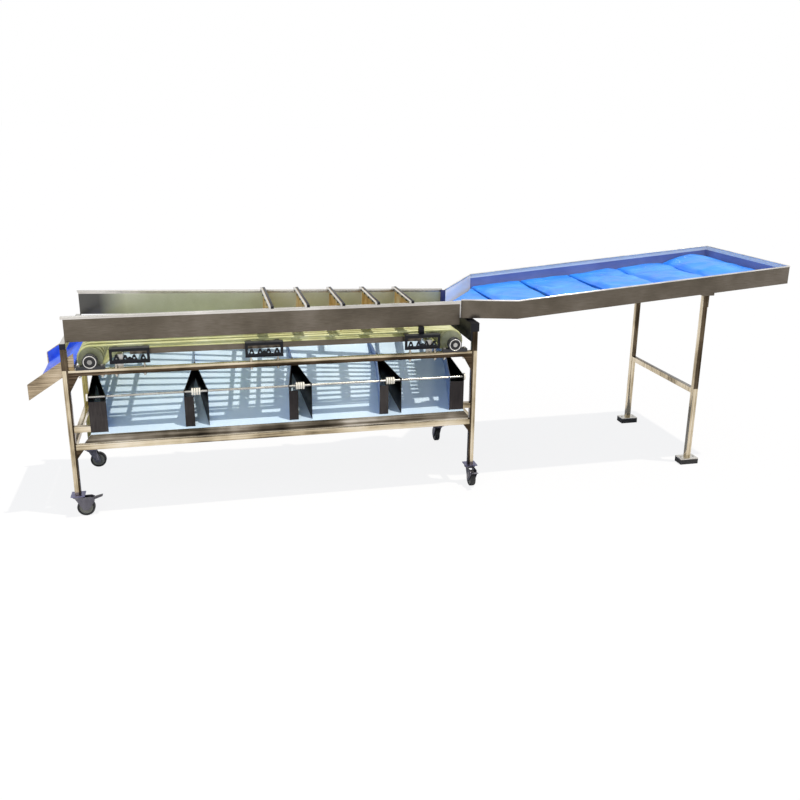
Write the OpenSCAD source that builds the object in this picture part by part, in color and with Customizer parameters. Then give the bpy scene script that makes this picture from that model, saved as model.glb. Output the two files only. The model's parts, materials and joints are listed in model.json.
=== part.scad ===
// Rope fruit grader: feed tray, diverging round belts over two grooved drums, four chutes below.
// Millimetres, +Z up. X runs from the discharge end to the feed end, Y from the front to the rear.

/* [Frame] */
// Length over the legs
frame_length = 1800; // [1600:10:2200]
// Width over the legs
frame_width = 600; // [560:5:680]
// Side of the square tube
tube = 25; // [20:1:30]
// Wall of the square tube
tube_wall = 1.5; // [1:0.1:2.5]
// Height of the top of the legs
leg_top = 747; // [730:1:800]
// Height of the top of the upper rails
upper_rail_top = 657; // [640:1:665]
// Height of the top of the lower rails
lower_rail_top = 328; // [290:1:333]
// Height of the caster under a leg
caster_height = 100; // [96:1:115]

/* [Rope bed] */
// Number of round belts
rope_count = 10; // [6:1:11]
// Radius of a round belt
rope_radius = 6; // [4:0.5:7]
// Share of the frame width that the belts span on the discharge drum
rope_span_wide_share = 0.7875; // [0.6:0.0025:0.795]
// Share of the frame width that the belts span on the feed drum
rope_span_narrow_share = 0.405; // [0.36:0.005:0.42]
// Outer radius of a drum
drum_radius = 50; // [46:1:52]
// Depth of a belt groove
groove_depth = 5; // [4:0.5:6]
// Radius of a drum shaft
shaft_radius = 10; // [8:0.5:11]
// Distance of the discharge drum from the left face
drum_inset_left = 113; // [105:1:120]
// Distance of the feed drum from the right face
drum_inset_right = 107; // [104:1:112]

/* [Side walls] */
// Height of a trough wall
wall_height = 110; // [80:1:130]
// Thickness of the trough sheet
wall_sheet = 2; // [1.5:0.1:3]
// Width of the folded top flange
wall_flange = 18; // [12:1:25]
// Depth of the turned down edge
wall_edge = 12; // [8:1:18]
// Front wall setback at the discharge end
wall_front_left = 26; // [24:1:30]
// Front wall setback at the feed end
wall_front_right = 48; // [40:1:60]
// Rear wall position from the front at the feed end
wall_rear_right = 345; // [342:1:370]
// Number of spreader bars
spreader_count = 5; // [2:1:5]
// Spacing of the spreader bars
spreader_pitch = 156; // [120:1:160]

/* [Chutes] */
// Front height of the chute floor
chute_front = 376; // [370:1:400]
// Rear height of the chute floor
chute_rear = 604; // [590:1:608]
// Height of the front apron
apron_height = 38; // [25:1:40]
// Height of a chute wall above its floor at the front
chute_wall_front = 166; // [150:1:175]
// Sheet thickness of the chutes
chute_sheet = 2; // [1.5:0.1:3]
// Width of a divider at the front
divider_width = 102; // [80:1:120]
// Depth over which a divider closes to one web
divider_depth = 330; // [250:5:400]
// Radius of the divider rod
rod_radius = 5; // [4:0.5:6]

/* [Feed tray] */
// Length of the sloping tray
tray_length = 1390; // [1200:10:1500]
// Width of the tray
tray_width = 730; // [690:5:760]
// Height of the tray sides
tray_side = 84; // [70:1:100]
// Slope of the tray in degrees
tray_slope = 5; // [3:0.5:6]
// Thickness of a pad at its edge
pad_edge = 13; // [10:1:16]
// Extra height of a pad at its crown
pad_crown = 15; // [8:1:20]
// Number of pads on the sloping tray
tray_pads = 5; // [5:1:5]

/* [Discharge tray] */
// Length of the discharge tray along the machine
discharge_run = 192; // [150:1:260]
// Slope of the discharge tray in degrees
discharge_slope = 33; // [28:1:34]
// Height of its side walls
discharge_side = 69; // [50:1:75]

/* [Casters] */
// Radius of a caster wheel
wheel_radius = 37.5; // [34:0.5:38]
// Width of a caster wheel
wheel_width = 24; // [20:1:28]
// Trail of a caster
caster_trail = 28; // [24:1:32]

/* [Hidden] */

$fn = 48;
fine_fn = 32;
cut = 1;
fit = 0.05;
air = 0.3;
half = tube / 2;

// frame
right_leg = frame_length - tube;
rear_leg = frame_width - tube;
rail_z = upper_rail_top - tube;
low_z = lower_rail_top - tube;
bed_z = leg_top + tube;
crossbar_lap = 9;
crossbar_over = 6;
crossbar_height = 40;
crossbar_web = 44;
crossbar_top = leg_top + crossbar_height;
wall_top = bed_z + cut + wall_height;
wall_base = bed_z;

// drums and belts
bearing_rise = 33.3;
axis_z = upper_rail_top + bearing_rise;
drum_left_x = drum_inset_left;
drum_right_x = frame_length - drum_inset_right;
groove_radius = drum_radius - groove_depth;
belt_gap = 1.2;
belt_turn = groove_radius + rope_radius + belt_gap;
belt_top = axis_z + belt_turn + rope_radius;
groove_floor = 5;
groove_mouth = 8.5;
belt_left_share = 0.105;
belt_right_share = 0.1333;
belt_left_y = frame_width * belt_left_share;
belt_right_y = frame_width * belt_right_share;
rope_pitch_wide = frame_width * rope_span_wide_share / (rope_count - 1);
rope_pitch_narrow = frame_width * rope_span_narrow_share / (rope_count - 1);
quarter_turn = 90;
half_turn = 180;
full_turn = 360;
drum_margin = 16;
belt_steps = 12;
guide_steps = 3;
guide_radius = 12;
guide_wrap = 40;
return_drop = 27.5;
guide_plate = 30;
guide_sheet = 4;
guide_plate_y = 19.5;
guide_head = 16;
belt_sides = 8;

// bearings
housing_length = 116;
housing_width = 34;
housing_base = 14;
housing_radius = 31;
insert_radius = 23;
insert_width = 26;
bolt_radius = 4;
bolt_hole = 4.3;
bolt_head_r = 7;
bolt_head_h = 5;
bearing_bolt_x = 46;

// combs
comb_positions_share = [0.1517, 0.4635, 0.8575];
comb_width = 164;
comb_height = 65;
comb_lift = 18;
comb_sheet = 3;
comb_rim = 14;
comb_side = 12;
comb_overhang = 10;
comb_flange = 42;
comb_bolt_x = 58;
comb_teeth = 4;
tooth_width_share = 0.1585;
tooth_width = comb_width * tooth_width_share;
tooth_height = 22;
tooth_step_share = 0.222;
tooth_top_share = 0.17;
tooth_hole = 4;
tooth_hole_rise = 6;
boss_radius = 9;
comb_z = upper_rail_top + comb_lift;
comb_top = comb_z + comb_height;
flat_width = 20;
flat_thick = 5;
flat_x = 62;
nut_radius = 7.5;
nut_height = 6;
bolt_tail = 12;

// trough walls in plan
wall_seat = 5;
wall_rear_inset = 8;
wall_x0 = tube - wall_seat;
wall_x1 = frame_length - 3 * tube;
wall_rear_left = frame_width - wall_rear_inset;
front_turn = atan((wall_front_right - wall_front_left) / (wall_x1 - wall_x0));
rear_turn = atan((wall_rear_right - wall_rear_left) / (wall_x1 - wall_x0));
function front_y(x) = wall_front_left + (x - wall_x0) * tan(front_turn);
function rear_y(x) = wall_rear_left + (x - wall_x0) * tan(rear_turn);
flange_over = 8;

// spreaders
spreader_first_share = 0.4833;
spreader_first = frame_length * spreader_first_share;
bar_width = 12;
bar_height = 10;
clamp_width = 9;
curtain_sheet = 1.5;
curtain_rise = 16;
curtain_foot = belt_top + curtain_rise;
curtain_gap = 5;
curtain_strips_n = 6;
spreader_bolt_r = 2.5;
spreader_head_r = 4.5;
spreader_head_h = 3;
spreader_bolt_shares = [0.12, 0.37, 0.63, 0.88];

// chutes
chute_x0 = 91;
chute_inset_right = 59;
chute_x1 = frame_length - chute_inset_right;
apron_y = -10;
chute_back_y = rear_leg - chute_sheet;
chute_rise = (chute_rear - chute_front) / (chute_back_y - apron_y);
function floor_z(y) = chute_front + (y - apron_y) * chute_rise;
upstand_inset = 4;
chute_upstand = upper_rail_top - upstand_inset;
apron_flare = 30;
wall_rear_step = 12;
divider_shares = [0.269, 0.542, 0.79];
divider_half = divider_width / 2;
end_flare = 70;
flange_drop = 30;
flange_share = 0.4;
rod_y_pos = 14;
rod_drop = 12;
rod_z_pos = floor_z(0) + chute_wall_front - rod_drop;
rod_bore = rod_radius + fit;
ring_radius = 16;
ring_width = 7;
ring_near = 5;
ring_far = 15;
stub_rise = 4;
stub_z = floor_z(0) + stub_rise;
wall_end_gap = 3;

// feed tray
tray_offset = 190;
neck_overlap = 62;
tray_x0 = frame_length + tray_offset;
neck_x0 = frame_length - neck_overlap;
tray_y0 = 5;
tray_y1 = tray_y0 + tray_width;
tray_z = bed_z + tube;
tray_x1 = tray_x0 + tray_length;
tray_rise = tan(tray_slope);
function tray_floor(x) = tray_z + max(0, x - tray_x0) * tray_rise;
neck_y0 = 72;
neck_y1 = 338;
tray_sheet = 2;
pad_lift = 0.3;
pad_clear = 3;
pad_nx = 8;
pad_ny = 12;
pad_draw = 4;
neck_pad_inset = 8;
pad_neck_x = neck_x0 + neck_pad_inset;

// stand
stand_share = 0.7;
stand_inset = 27;
stand_gap = 8;
stand_x = tray_x0 + tray_length * stand_share;
stand_front_y = tray_y0 + stand_inset;
stand_rear_y = tray_y1 - stand_inset - tube;
stand_top = tray_floor(stand_x - 2 * tube) - stand_gap;
foot_block = 25;
foot_plate = 5;
foot_length = 95;
foot_width = 60;
foot_hole = 5.5;
foot_hole_x = 34;
stand_bar_z = 370;
bracket_length = 60;
bracket_width = 60;
bracket_cheek = 4;
bracket_drop = 60;

// discharge tray
discharge_x1 = 48;
discharge_x0 = discharge_x1 - discharge_run;
discharge_drop = 92;
discharge_top = leg_top - discharge_drop;
discharge_fall = tan(discharge_slope);
discharge_y0 = tube;
discharge_y1 = frame_width - tube;
discharge_sheet = 2;
cheek_pad = 6;
function discharge_z(x) = discharge_top - (discharge_x1 - x) * discharge_fall;

// casters
plate_side = 58;
plate_thick = 4;
king_radius = 6;
swivel_radius = 26;
swivel_gap = 0.4;
swivel_height = 10;
swivel_top = caster_height - plate_thick - swivel_gap;
swivel_low = swivel_top - swivel_height;
king_head_r = 11;
king_head_h = 4;
arm_thick = 3;
arm_gap = 1.5;
axle_radius = 5;
hub_radius = 14;
hub_proud = 1;
tread_round = 3;
pedal_pin_r = 3;
pedal_barrel = 6;
pedal_reach = 32;
pedal_lift = 36;
pedal_x = caster_trail + pedal_reach;
pedal_z = wheel_radius + pedal_lift;
pedal_length = 34;
pedal_thick = 3;
pedal_rise = 12;
pedal_blade = 30;
pedal_side_gap = 0.5;
pedal_half = wheel_width / 2 - pedal_side_gap;

// drive, hidden behind the chute
drive_inset = 320;
drive_x = frame_length - drive_inset;
drive_z = 525;
gearbox_side = 84;
gearbox_depth = 58;
hanger_sheet = 6;
hanger_bore = 14;
motor_radius = 43;
motor_length = 165;
motor_cap = 14;
motor_cap_r = 46;
terminal = 46;
terminal_h = 26;
gland_r = 8;
gland_h = 14;
sprocket_gap = 14;
sprocket_y = frame_width + sprocket_gap;
sprocket_w = 6;
sprocket_drum_r = 38;
sprocket_motor_r = 28;
chain_thick = 7;
chain_w = 8;
guard_wall = 1.5;
guard_gap = 9;
guard_depth = 22;
motor_shaft_r = 9;
motor_x1 = drive_x - gearbox_side / 2;
motor_x0 = motor_x1 - motor_length;
motor_y = frame_width - gearbox_depth + motor_cap;
motor_z = drive_z - motor_cap;
terminal_x = (motor_x0 + motor_x1) / 2;
out_shaft_proud = 4;
out_shaft_end = sprocket_y + sprocket_w + out_shaft_proud;
out_shaft_in = 30;

// whole machine
x_low = discharge_x0;
x_high = tray_x1;
y_low = half - pedal_x - pedal_barrel - pedal_length;
y_high = tray_y1;
x_mid = (x_low + x_high) / 2;
y_mid = (y_low + y_high) / 2;

steel = [0.72, 0.71, 0.68];
dark_steel = [0.38, 0.37, 0.35];
black = [0.1, 0.1, 0.11];
green = [0.75, 0.77, 0.4];
blue = [0.12, 0.5, 0.95];
white = [0.93, 0.92, 0.88];
amber = [0.85, 0.68, 0.35];

module bar(a, b) {
  translate(a) cube(b - a);
}

module tube_x(x0, x1, y0, z0) {
  difference() {
    bar([x0, y0, z0], [x1, y0 + tube, z0 + tube]);
    bar([x0 - cut, y0 + tube_wall, z0 + tube_wall],
      [x1 + cut, y0 + tube - tube_wall, z0 + tube - tube_wall]);
  }
}

module tube_y(y0, y1, x0, z0) {
  difference() {
    bar([x0, y0, z0], [x0 + tube, y1, z0 + tube]);
    bar([x0 + tube_wall, y0 + tube_wall, z0 + tube_wall],
      [x0 + tube - tube_wall, y1 + cut, z0 + tube - tube_wall]);
  }
}

module tube_z(z0, z1, x0, y0) {
  difference() {
    bar([x0, y0, z0], [x0 + tube, y0 + tube, z1]);
    bar([x0 + tube_wall, y0 + tube_wall, z0 - cut],
      [x0 + tube - tube_wall, y0 + tube - tube_wall, z1 + cut]);
  }
}

module rod_x(x0, x1, y, z, r) {
  translate([x0, y, z]) rotate([0, 90, 0]) cylinder(h = x1 - x0, r = r);
}

module rod_y(y0, y1, x, z, r) {
  translate([x, y1, z]) rotate([90, 0, 0]) cylinder(h = y1 - y0, r = r);
}

module rod_z(z0, z1, x, y, r) {
  translate([x, y, z0]) cylinder(h = z1 - z0, r = r);
}

module slab_xz(points, y0, y1) {
  translate([0, y1, 0]) rotate([90, 0, 0]) linear_extrude(y1 - y0) polygon(points);
}

module slab_yz(points, x0, x1) {
  translate([x0, 0, 0]) rotate([90, 0, 90]) linear_extrude(x1 - x0) polygon(points);
}

module slab_xy(points, z0, z1) {
  translate([0, 0, z0]) linear_extrude(z1 - z0) polygon(points);
}

module hex_z(z0, z1, x, y, r) {
  translate([x, y, z0]) cylinder(h = z1 - z0, r = r, $fn = 6);
}

// frame
module frame_legs() {
  color(steel) for (x = [0, right_leg]) for (y = [0, rear_leg]) tube_z(caster_height, leg_top, x, y);
}

module top_crossbars() {
  color(dark_steel) {
    tube_y(0, frame_width, 0, leg_top);
    difference() {
      bar([right_leg - crossbar_lap, 0, leg_top],
        [right_leg + tube + crossbar_over, frame_width, crossbar_top]);
      bar([right_leg - crossbar_lap + tube_wall, tube_wall, leg_top + tube_wall],
        [right_leg + tube + crossbar_over - tube_wall, frame_width + cut, crossbar_top - tube_wall]);
    }
    bar([right_leg - crossbar_lap, 0, leg_top - crossbar_web],
      [right_leg, frame_width, leg_top + tube_wall / 2]);
  }
}

function comb_x(i) = frame_length * comb_positions_share[i];

module rail_holes(y) {
  for (i = [0, 1, 2]) for (s = [-1, 1])
    rod_z(rail_z - cut, upper_rail_top + cut, comb_x(i) + s * comb_bolt_x, y + half, bolt_hole);
  for (x = [drum_left_x, drum_right_x]) for (s = [-1, 1])
    rod_z(rail_z - cut, upper_rail_top + cut, x + s * bearing_bolt_x, y + half, bolt_hole);
}

module upper_rails() {
  color(steel) for (y = [0, rear_leg]) difference() {
    tube_x(tube, right_leg, y, rail_z);
    rail_holes(y);
  }
}

module lower_rails() {
  color(steel) for (y = [0, rear_leg]) tube_x(tube, right_leg, y, low_z);
}

module lower_crossbars() {
  color(steel) for (x = [0, right_leg]) tube_y(tube, rear_leg, x, low_z);
}

gusset_upper = [40, 70];
gusset_lower = [30, 40];
gusset_sheet = 4;
gusset_inset = 2.5;

module gusset_pair(size, top, y) {
  slab_xz([[tube, top], [tube + size[0], top], [tube, top - size[1]]],
    y - gusset_sheet / 2, y + gusset_sheet / 2);
  slab_xz([[right_leg, top], [right_leg, top - size[1]], [right_leg - size[0], top]],
    y - gusset_sheet / 2, y + gusset_sheet / 2);
}

module frame_gussets() {
  color(dark_steel) for (y = [gusset_inset, frame_width - gusset_inset]) {
    gusset_pair(gusset_upper, rail_z, y);
    gusset_pair(gusset_lower, low_z, y);
  }
}

module chute_brackets() {
  color(steel) {
    tube_x(tube, chute_x0, 0, stub_z);
    tube_x(chute_x1, right_leg, 0, stub_z);
  }
}

// trough walls
module trough_wall(length, side) {
  slab_yz([[0, 0], [side * wall_sheet, 0], [side * wall_sheet, wall_top - wall_base],
    [0, wall_top - wall_base]], 0, length);
  slab_yz([[0, wall_top - wall_base - wall_sheet],
    [side * wall_flange, wall_top - wall_base - wall_sheet],
    [side * wall_flange, wall_top - wall_base], [0, wall_top - wall_base]], -flange_over, length);
  slab_yz([[side * (wall_flange - wall_sheet), wall_top - wall_base - wall_edge],
    [side * wall_flange, wall_top - wall_base - wall_edge],
    [side * wall_flange, wall_top - wall_base],
    [side * (wall_flange - wall_sheet), wall_top - wall_base]], -flange_over, length);
}

module side_wall_front() {
  color(steel) translate([wall_x0, wall_front_left, wall_base]) rotate([0, 0, front_turn])
    trough_wall((wall_x1 - wall_x0) / cos(front_turn), -1);
}

module side_wall_rear() {
  color(steel) translate([wall_x0, wall_rear_left, wall_base]) rotate([0, 0, rear_turn])
    trough_wall((wall_x1 - wall_x0) / cos(rear_turn), 1);
}

post_shares = [0.36, 0.672];
arm_rise = 30;
arm_z = wall_base + arm_rise;

function rear_face(x) = rear_y(x) + wall_sheet / cos(rear_turn);

module rear_brackets() {
  color(steel) {
    for (s = post_shares) {
      x = frame_length * s;
      tube_z(upper_rail_top, arm_z, x, rear_leg);
      slab_xy([[x, frame_width], [x, rear_face(x)], [x + tube, rear_face(x + tube)],
        [x + tube, frame_width]], arm_z, arm_z + tube);
    }
    difference() {
      bar([drive_x - gearbox_side / 2, frame_width, drive_z - gearbox_side / 2],
        [drive_x + gearbox_side / 2, frame_width + hanger_sheet, upper_rail_top]);
      rod_y(frame_width - cut, frame_width + hanger_sheet + cut, drive_x, drive_z, hanger_bore);
    }
  }
}

function spreader_x(i) = spreader_first + i * spreader_pitch;

module spreader_bars() {
  color(black) for (i = [0 : spreader_count - 1]) {
    x = spreader_x(i);
    difference() {
      bar([x, front_y(x) - wall_flange, wall_top],
        [x + bar_width, rear_y(x) + wall_flange, wall_top + bar_height]);
      for (s = spreader_bolt_shares)
        rod_x(x - cut, x + bar_width + cut, front_y(x) + s * (rear_y(x) - front_y(x)),
          wall_top + bar_height / 2, spreader_bolt_r + fit);
    }
  }
}

module spreader_clamps() {
  color(white) for (i = [0 : spreader_count - 1]) {
    x = spreader_x(i);
    difference() {
      bar([x - curtain_sheet - clamp_width, front_y(x) - wall_flange, wall_top],
        [x - curtain_sheet, rear_y(x) + wall_flange, wall_top + bar_height]);
      for (s = spreader_bolt_shares)
        rod_x(x - curtain_sheet - clamp_width - cut, x + cut, front_y(x) + s * (rear_y(x) - front_y(x)),
          wall_top + bar_height / 2, spreader_bolt_r + fit);
    }
  }
}

module spreader_bolts() {
  color(dark_steel) for (i = [0 : spreader_count - 1]) for (s = spreader_bolt_shares) {
    x = spreader_x(i);
    y = front_y(x) + s * (rear_y(x) - front_y(x));
    z = wall_top + bar_height / 2;
    rod_x(x - curtain_sheet - clamp_width - cut, x + bar_width + spreader_head_h, y, z, spreader_bolt_r);
    rod_x(x - curtain_sheet - clamp_width - spreader_head_h, x - curtain_sheet - clamp_width, y, z,
      spreader_head_r);
  }
}

module curtain_strips() {
  color(amber) for (i = [0 : spreader_count - 1]) {
    x = spreader_x(i);
    y0 = front_y(x) + curtain_gap + wall_sheet;
    y1 = rear_y(x) - curtain_gap - wall_sheet;
    pitch = (y1 - y0) / curtain_strips_n;
    difference() {
      for (k = [0 : curtain_strips_n - 1])
        bar([x - curtain_sheet, y0 + k * pitch, curtain_foot],
          [x, y0 + (k + 1) * pitch - curtain_gap, wall_top + bar_height]);
      for (s = spreader_bolt_shares)
        rod_x(x - curtain_sheet - cut, x + cut, front_y(x) + s * (rear_y(x) - front_y(x)),
          wall_top + bar_height / 2, spreader_bolt_r + fit);
    }
  }
}

// drums
function groove(y) = [[drum_radius, y - groove_mouth], [groove_radius, y - groove_floor],
  [groove_radius, y + groove_floor], [drum_radius, y + groove_mouth]];

function flat_list(lists) = [for (part = lists) for (p = part) p];

module drum_body(first, pitch, low_end, high_end) {
  last = first + (rope_count - 1) * pitch;
  rotate([-90, 0, 0]) rotate_extrude() polygon(concat(
    [[0, low_end], [shaft_radius, low_end], [shaft_radius, first - drum_margin],
      [drum_radius, first - drum_margin]],
    flat_list([for (i = [0 : rope_count - 1]) groove(first + i * pitch)]),
    [[drum_radius, last + drum_margin], [shaft_radius, last + drum_margin],
      [shaft_radius, high_end], [0, high_end]]));
}

shaft_proud = 6;

module drum_left() {
  color(dark_steel) translate([drum_left_x, 0, axis_z])
    drum_body(belt_left_y, rope_pitch_wide, -shaft_proud, frame_width + shaft_proud);
}

module drum_right() {
  color(dark_steel) translate([drum_right_x, 0, axis_z]) {
    drum_body(belt_right_y, rope_pitch_narrow, -shaft_proud, sprocket_y + sprocket_w + shaft_proud);
    rod_y(sprocket_y, sprocket_y + sprocket_w, 0, 0, sprocket_drum_r);
  }
}

// belts: swept round loops, one ring of points per path step. Each belt wraps the drums past half a turn
// and comes back over two round guides, just under the carrying run
guide_turn = guide_radius + air + rope_radius;
guide_rise = belt_turn - return_drop - guide_turn;
guide_x = (belt_turn + guide_turn + guide_rise * cos(guide_wrap)) / sin(guide_wrap);
guide_z = axis_z + guide_rise;
belt_rings = 2 * (belt_steps + 1) + 2 * (guide_steps + 1);
function belt_y(x, yl, yr) = yl + (yr - yl) * (x - drum_left_x) / (drum_right_x - drum_left_x);

function belt_ring(x, z, r, turn, out, y) = [for (k = [0 : belt_sides - 1])
  let (a = full_turn * k / belt_sides, d = r + out * rope_radius * cos(a))
  [x + d * cos(turn), y + rope_radius * sin(a), z + d * sin(turn)]];

function drum_rings(x, y, start) = flat_list([for (k = [0 : belt_steps])
  belt_ring(x, axis_z, belt_turn, start + (half_turn + guide_wrap) * k / belt_steps, 1, y)]);

function guide_rings(x, y, start, end) = flat_list([for (k = [0 : guide_steps])
  belt_ring(x, guide_z, guide_turn, start + (end - start) * k / guide_steps, -1, y)]);

function belt_points(yl, yr) = concat(
  drum_rings(drum_left_x, yl, quarter_turn),
  guide_rings(drum_left_x + guide_x, belt_y(drum_left_x + guide_x, yl, yr),
    quarter_turn + guide_wrap, quarter_turn),
  guide_rings(drum_right_x - guide_x, belt_y(drum_right_x - guide_x, yl, yr),
    quarter_turn, quarter_turn - guide_wrap),
  drum_rings(drum_right_x, yr, -quarter_turn - guide_wrap));

function belt_faces(rings) = [for (i = [0 : rings - 1]) for (k = [0 : belt_sides - 1])
  let (n = (i + 1) % rings, m = (k + 1) % belt_sides)
  each [[i * belt_sides + k, n * belt_sides + k, n * belt_sides + m],
    [i * belt_sides + k, n * belt_sides + m, i * belt_sides + m]]];

module grading_ropes() {
  color(green) for (i = [0 : rope_count - 1])
    polyhedron(points = belt_points(belt_left_y + i * rope_pitch_wide, belt_right_y + i * rope_pitch_narrow),
      faces = belt_faces(belt_rings));
}

// bearings
module housing(x, y) {
  difference() {
    union() {
      bar([x - housing_length / 2, y - housing_width / 2, upper_rail_top],
        [x + housing_length / 2, y + housing_width / 2, upper_rail_top + housing_base]);
      rod_y(y - housing_width / 2 + cut, y + housing_width / 2 - cut, x, axis_z, housing_radius);
    }
    rod_y(y - housing_width, y + housing_width, x, axis_z, insert_radius + fit);
    for (s = [-1, 1])
      rod_z(upper_rail_top - cut, axis_z, x + s * bearing_bolt_x, y, bolt_hole);
    bar([x - housing_length, y - housing_width, rail_z],
      [x + housing_length, y + housing_width, upper_rail_top]);
  }
}

module bearing_housings() {
  color(dark_steel) for (x = [drum_left_x, drum_right_x]) for (y = [half, rear_leg + half]) housing(x, y);
}

module bearing_inserts() {
  color(steel) for (x = [drum_left_x, drum_right_x]) for (y = [half, rear_leg + half]) difference() {
    rod_y(y - insert_width / 2, y + insert_width / 2, x, axis_z, insert_radius);
    rod_y(y - insert_width, y + insert_width, x, axis_z, shaft_radius + fit);
  }
}

module rail_bolts() {
  color(dark_steel) for (y = [half, rear_leg + half]) {
    for (x = [drum_left_x, drum_right_x]) for (s = [-1, 1]) {
      rod_z(rail_z - bolt_tail, upper_rail_top + housing_base, x + s * bearing_bolt_x, y, bolt_radius);
      hex_z(upper_rail_top + housing_base, upper_rail_top + housing_base + bolt_head_h,
        x + s * bearing_bolt_x, y, bolt_head_r);
      hex_z(rail_z - nut_height, rail_z, x + s * bearing_bolt_x, y, nut_radius);
    }
    for (i = [0, 1, 2]) for (s = [-1, 1]) {
      rod_z(rail_z - bolt_tail, comb_z, comb_x(i) + s * comb_bolt_x, y, bolt_radius);
      hex_z(upper_rail_top, upper_rail_top + nut_height, comb_x(i) + s * comb_bolt_x, y, nut_radius);
      hex_z(rail_z - nut_height, rail_z, comb_x(i) + s * comb_bolt_x, y, nut_radius);
    }
  }
}

// combs
function tooth_x(i) = (i - (comb_teeth - 1) / 2) * comb_width * tooth_step_share;
tooth = [[-tooth_width / 2, comb_rim / 2], [-tooth_width / 2, comb_rim],
  [-tooth_width * tooth_top_share, comb_rim + tooth_height],
  [tooth_width * tooth_top_share, comb_rim + tooth_height],
  [tooth_width / 2, comb_rim], [tooth_width / 2, comb_rim / 2]];

module comb_plate() {
  difference() {
    union() {
      difference() {
        square([comb_width, comb_height]);
        translate([comb_side, comb_rim])
          square([comb_width - 2 * comb_side, comb_height - 2 * comb_rim]);
      }
      for (i = [0 : comb_teeth - 1]) translate([comb_width / 2 + tooth_x(i), 0]) polygon(tooth);
      translate([comb_width / 2, comb_rim + boss_radius / 2]) circle(r = boss_radius);
    }
    for (i = [0 : comb_teeth - 1])
      translate([comb_width / 2 + tooth_x(i), comb_rim + tooth_hole_rise]) circle(r = tooth_hole);
  }
}

module comb_bracket(x, y, side) {
  translate([x - comb_width / 2, y + comb_sheet / 2, comb_z]) rotate([90, 0, 0])
    linear_extrude(comb_sheet) comb_plate();
  flange_y = side > 0 ? y - comb_overhang : y + comb_overhang - comb_flange;
  bar([x - comb_width / 2, flange_y, comb_top - comb_sheet],
    [x + comb_width / 2, flange_y + comb_flange, comb_top]);
  bar([x - comb_width / 2, y - half / 2, comb_z],
    [x + comb_width / 2, y + half / 2, comb_z + comb_sheet]);
}

module comb_brackets() {
  color(black) for (i = [0, 1, 2]) {
    comb_bracket(comb_x(i), half, 1);
    comb_bracket(comb_x(i), rear_leg + half, -1);
  }
}

flat_gap = 1;
slide_y = 38;
slide_sheet = 5;
slide_height = 24;
flat_top = min(comb_top - comb_sheet, belt_top - 2 * rope_radius - flat_gap);

module comb_flats() {
  color(dark_steel) {
    for (i = [0, 1, 2]) for (s = [-1, 1])
      bar([comb_x(i) + s * flat_x - flat_width / 2, half + comb_sheet / 2, flat_top - flat_thick],
        [comb_x(i) + s * flat_x + flat_width / 2, rear_leg + half - comb_sheet / 2, flat_top]);
    for (y = [slide_y, frame_width - slide_y - slide_sheet])
      bar([comb_x(0), y, flat_top - flat_thick - slide_height],
        [comb_x(2), y + slide_sheet, flat_top - flat_thick]);
  }
}

// round bars that lift the return run, each on two plates that stand on the upper rails
module return_guides() {
  color(steel) for (x = [drum_left_x + guide_x, drum_right_x - guide_x]) {
    rod_y(guide_plate_y + guide_sheet, frame_width - guide_plate_y - guide_sheet, x, guide_z, guide_radius);
    for (y = [guide_plate_y, frame_width - guide_plate_y - guide_sheet])
      bar([x - guide_plate / 2, y, upper_rail_top],
        [x + guide_plate / 2, y + guide_sheet, guide_z + guide_head]);
  }
}

block = 24;
rest_shares = [0.25, 0.75];

module support_blocks() {
  color(black) {
    bar([comb_x(2) - block / 2, front_y(comb_x(2)) - block / 2, comb_top],
      [comb_x(2) + block / 2, front_y(comb_x(2)) + block / 4, wall_base]);
    for (s = rest_shares)
      bar([right_leg, neck_y0 + s * (neck_y1 - neck_y0) - block / 2, crossbar_top],
        [right_leg + tube, neck_y0 + s * (neck_y1 - neck_y0) + block / 2, tray_z]);
  }
}

// chutes
module chute_floor() {
  color(steel) {
    slab_yz([[apron_y, chute_front], [chute_back_y, floor_z(chute_back_y)], [chute_back_y, chute_upstand],
      [chute_back_y + chute_sheet, chute_upstand],
      [chute_back_y + chute_sheet, floor_z(chute_back_y) - chute_sheet],
      [apron_y, chute_front - chute_sheet]], chute_x0, chute_x1);
    slab_xz([[chute_x0, chute_front], [chute_x1, chute_front],
      [chute_x1 + apron_flare, chute_front - apron_height],
      [chute_x0 - apron_flare, chute_front - apron_height]],
      apron_y - chute_sheet, apron_y);
  }
}

wall_profile = [[0, floor_z(0)], [chute_back_y - wall_end_gap, floor_z(chute_back_y - wall_end_gap)],
  [chute_back_y - wall_end_gap, floor_z(chute_back_y - wall_end_gap) + wall_rear_step],
  [2 * rod_y_pos, floor_z(0) + chute_wall_front], [0, floor_z(0) + chute_wall_front]];
flange_z = floor_z(0) + chute_wall_front - flange_drop;
flange_foot = floor_z(chute_sheet);

module chute_plates(x0, x1) {
  difference() {
    intersection() {
      slab_xy_set() children();
      slab_yz(wall_profile, x0, x1);
    }
    rod_x(x0, x1, rod_y_pos, rod_z_pos, rod_bore);
  }
}

module slab_xy_set() {
  translate([0, 0, low_z]) linear_extrude(upper_rail_top) children();
}

function vee(xa, xb) = [[xa, 0], [xa + chute_sheet, 0], [xb + chute_sheet, divider_depth],
  [xb, divider_depth]];

module divider(xc) {
  color(steel) {
    chute_plates(xc - divider_width, xc + divider_width) {
      union() {
        polygon(vee(xc - divider_half, xc - chute_sheet / 2));
        polygon(vee(xc + divider_half - chute_sheet, xc - chute_sheet / 2));
        translate([xc - chute_sheet / 2, divider_depth - cut])
          square([chute_sheet, chute_back_y - divider_depth]);
      }
    }
    bar([xc - divider_half, 0, flange_foot],
      [xc - divider_half + divider_width * flange_share, chute_sheet, flange_z]);
  }
}

function divider_x(i) = chute_x0 + (chute_x1 - chute_x0) * divider_shares[i];

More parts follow.
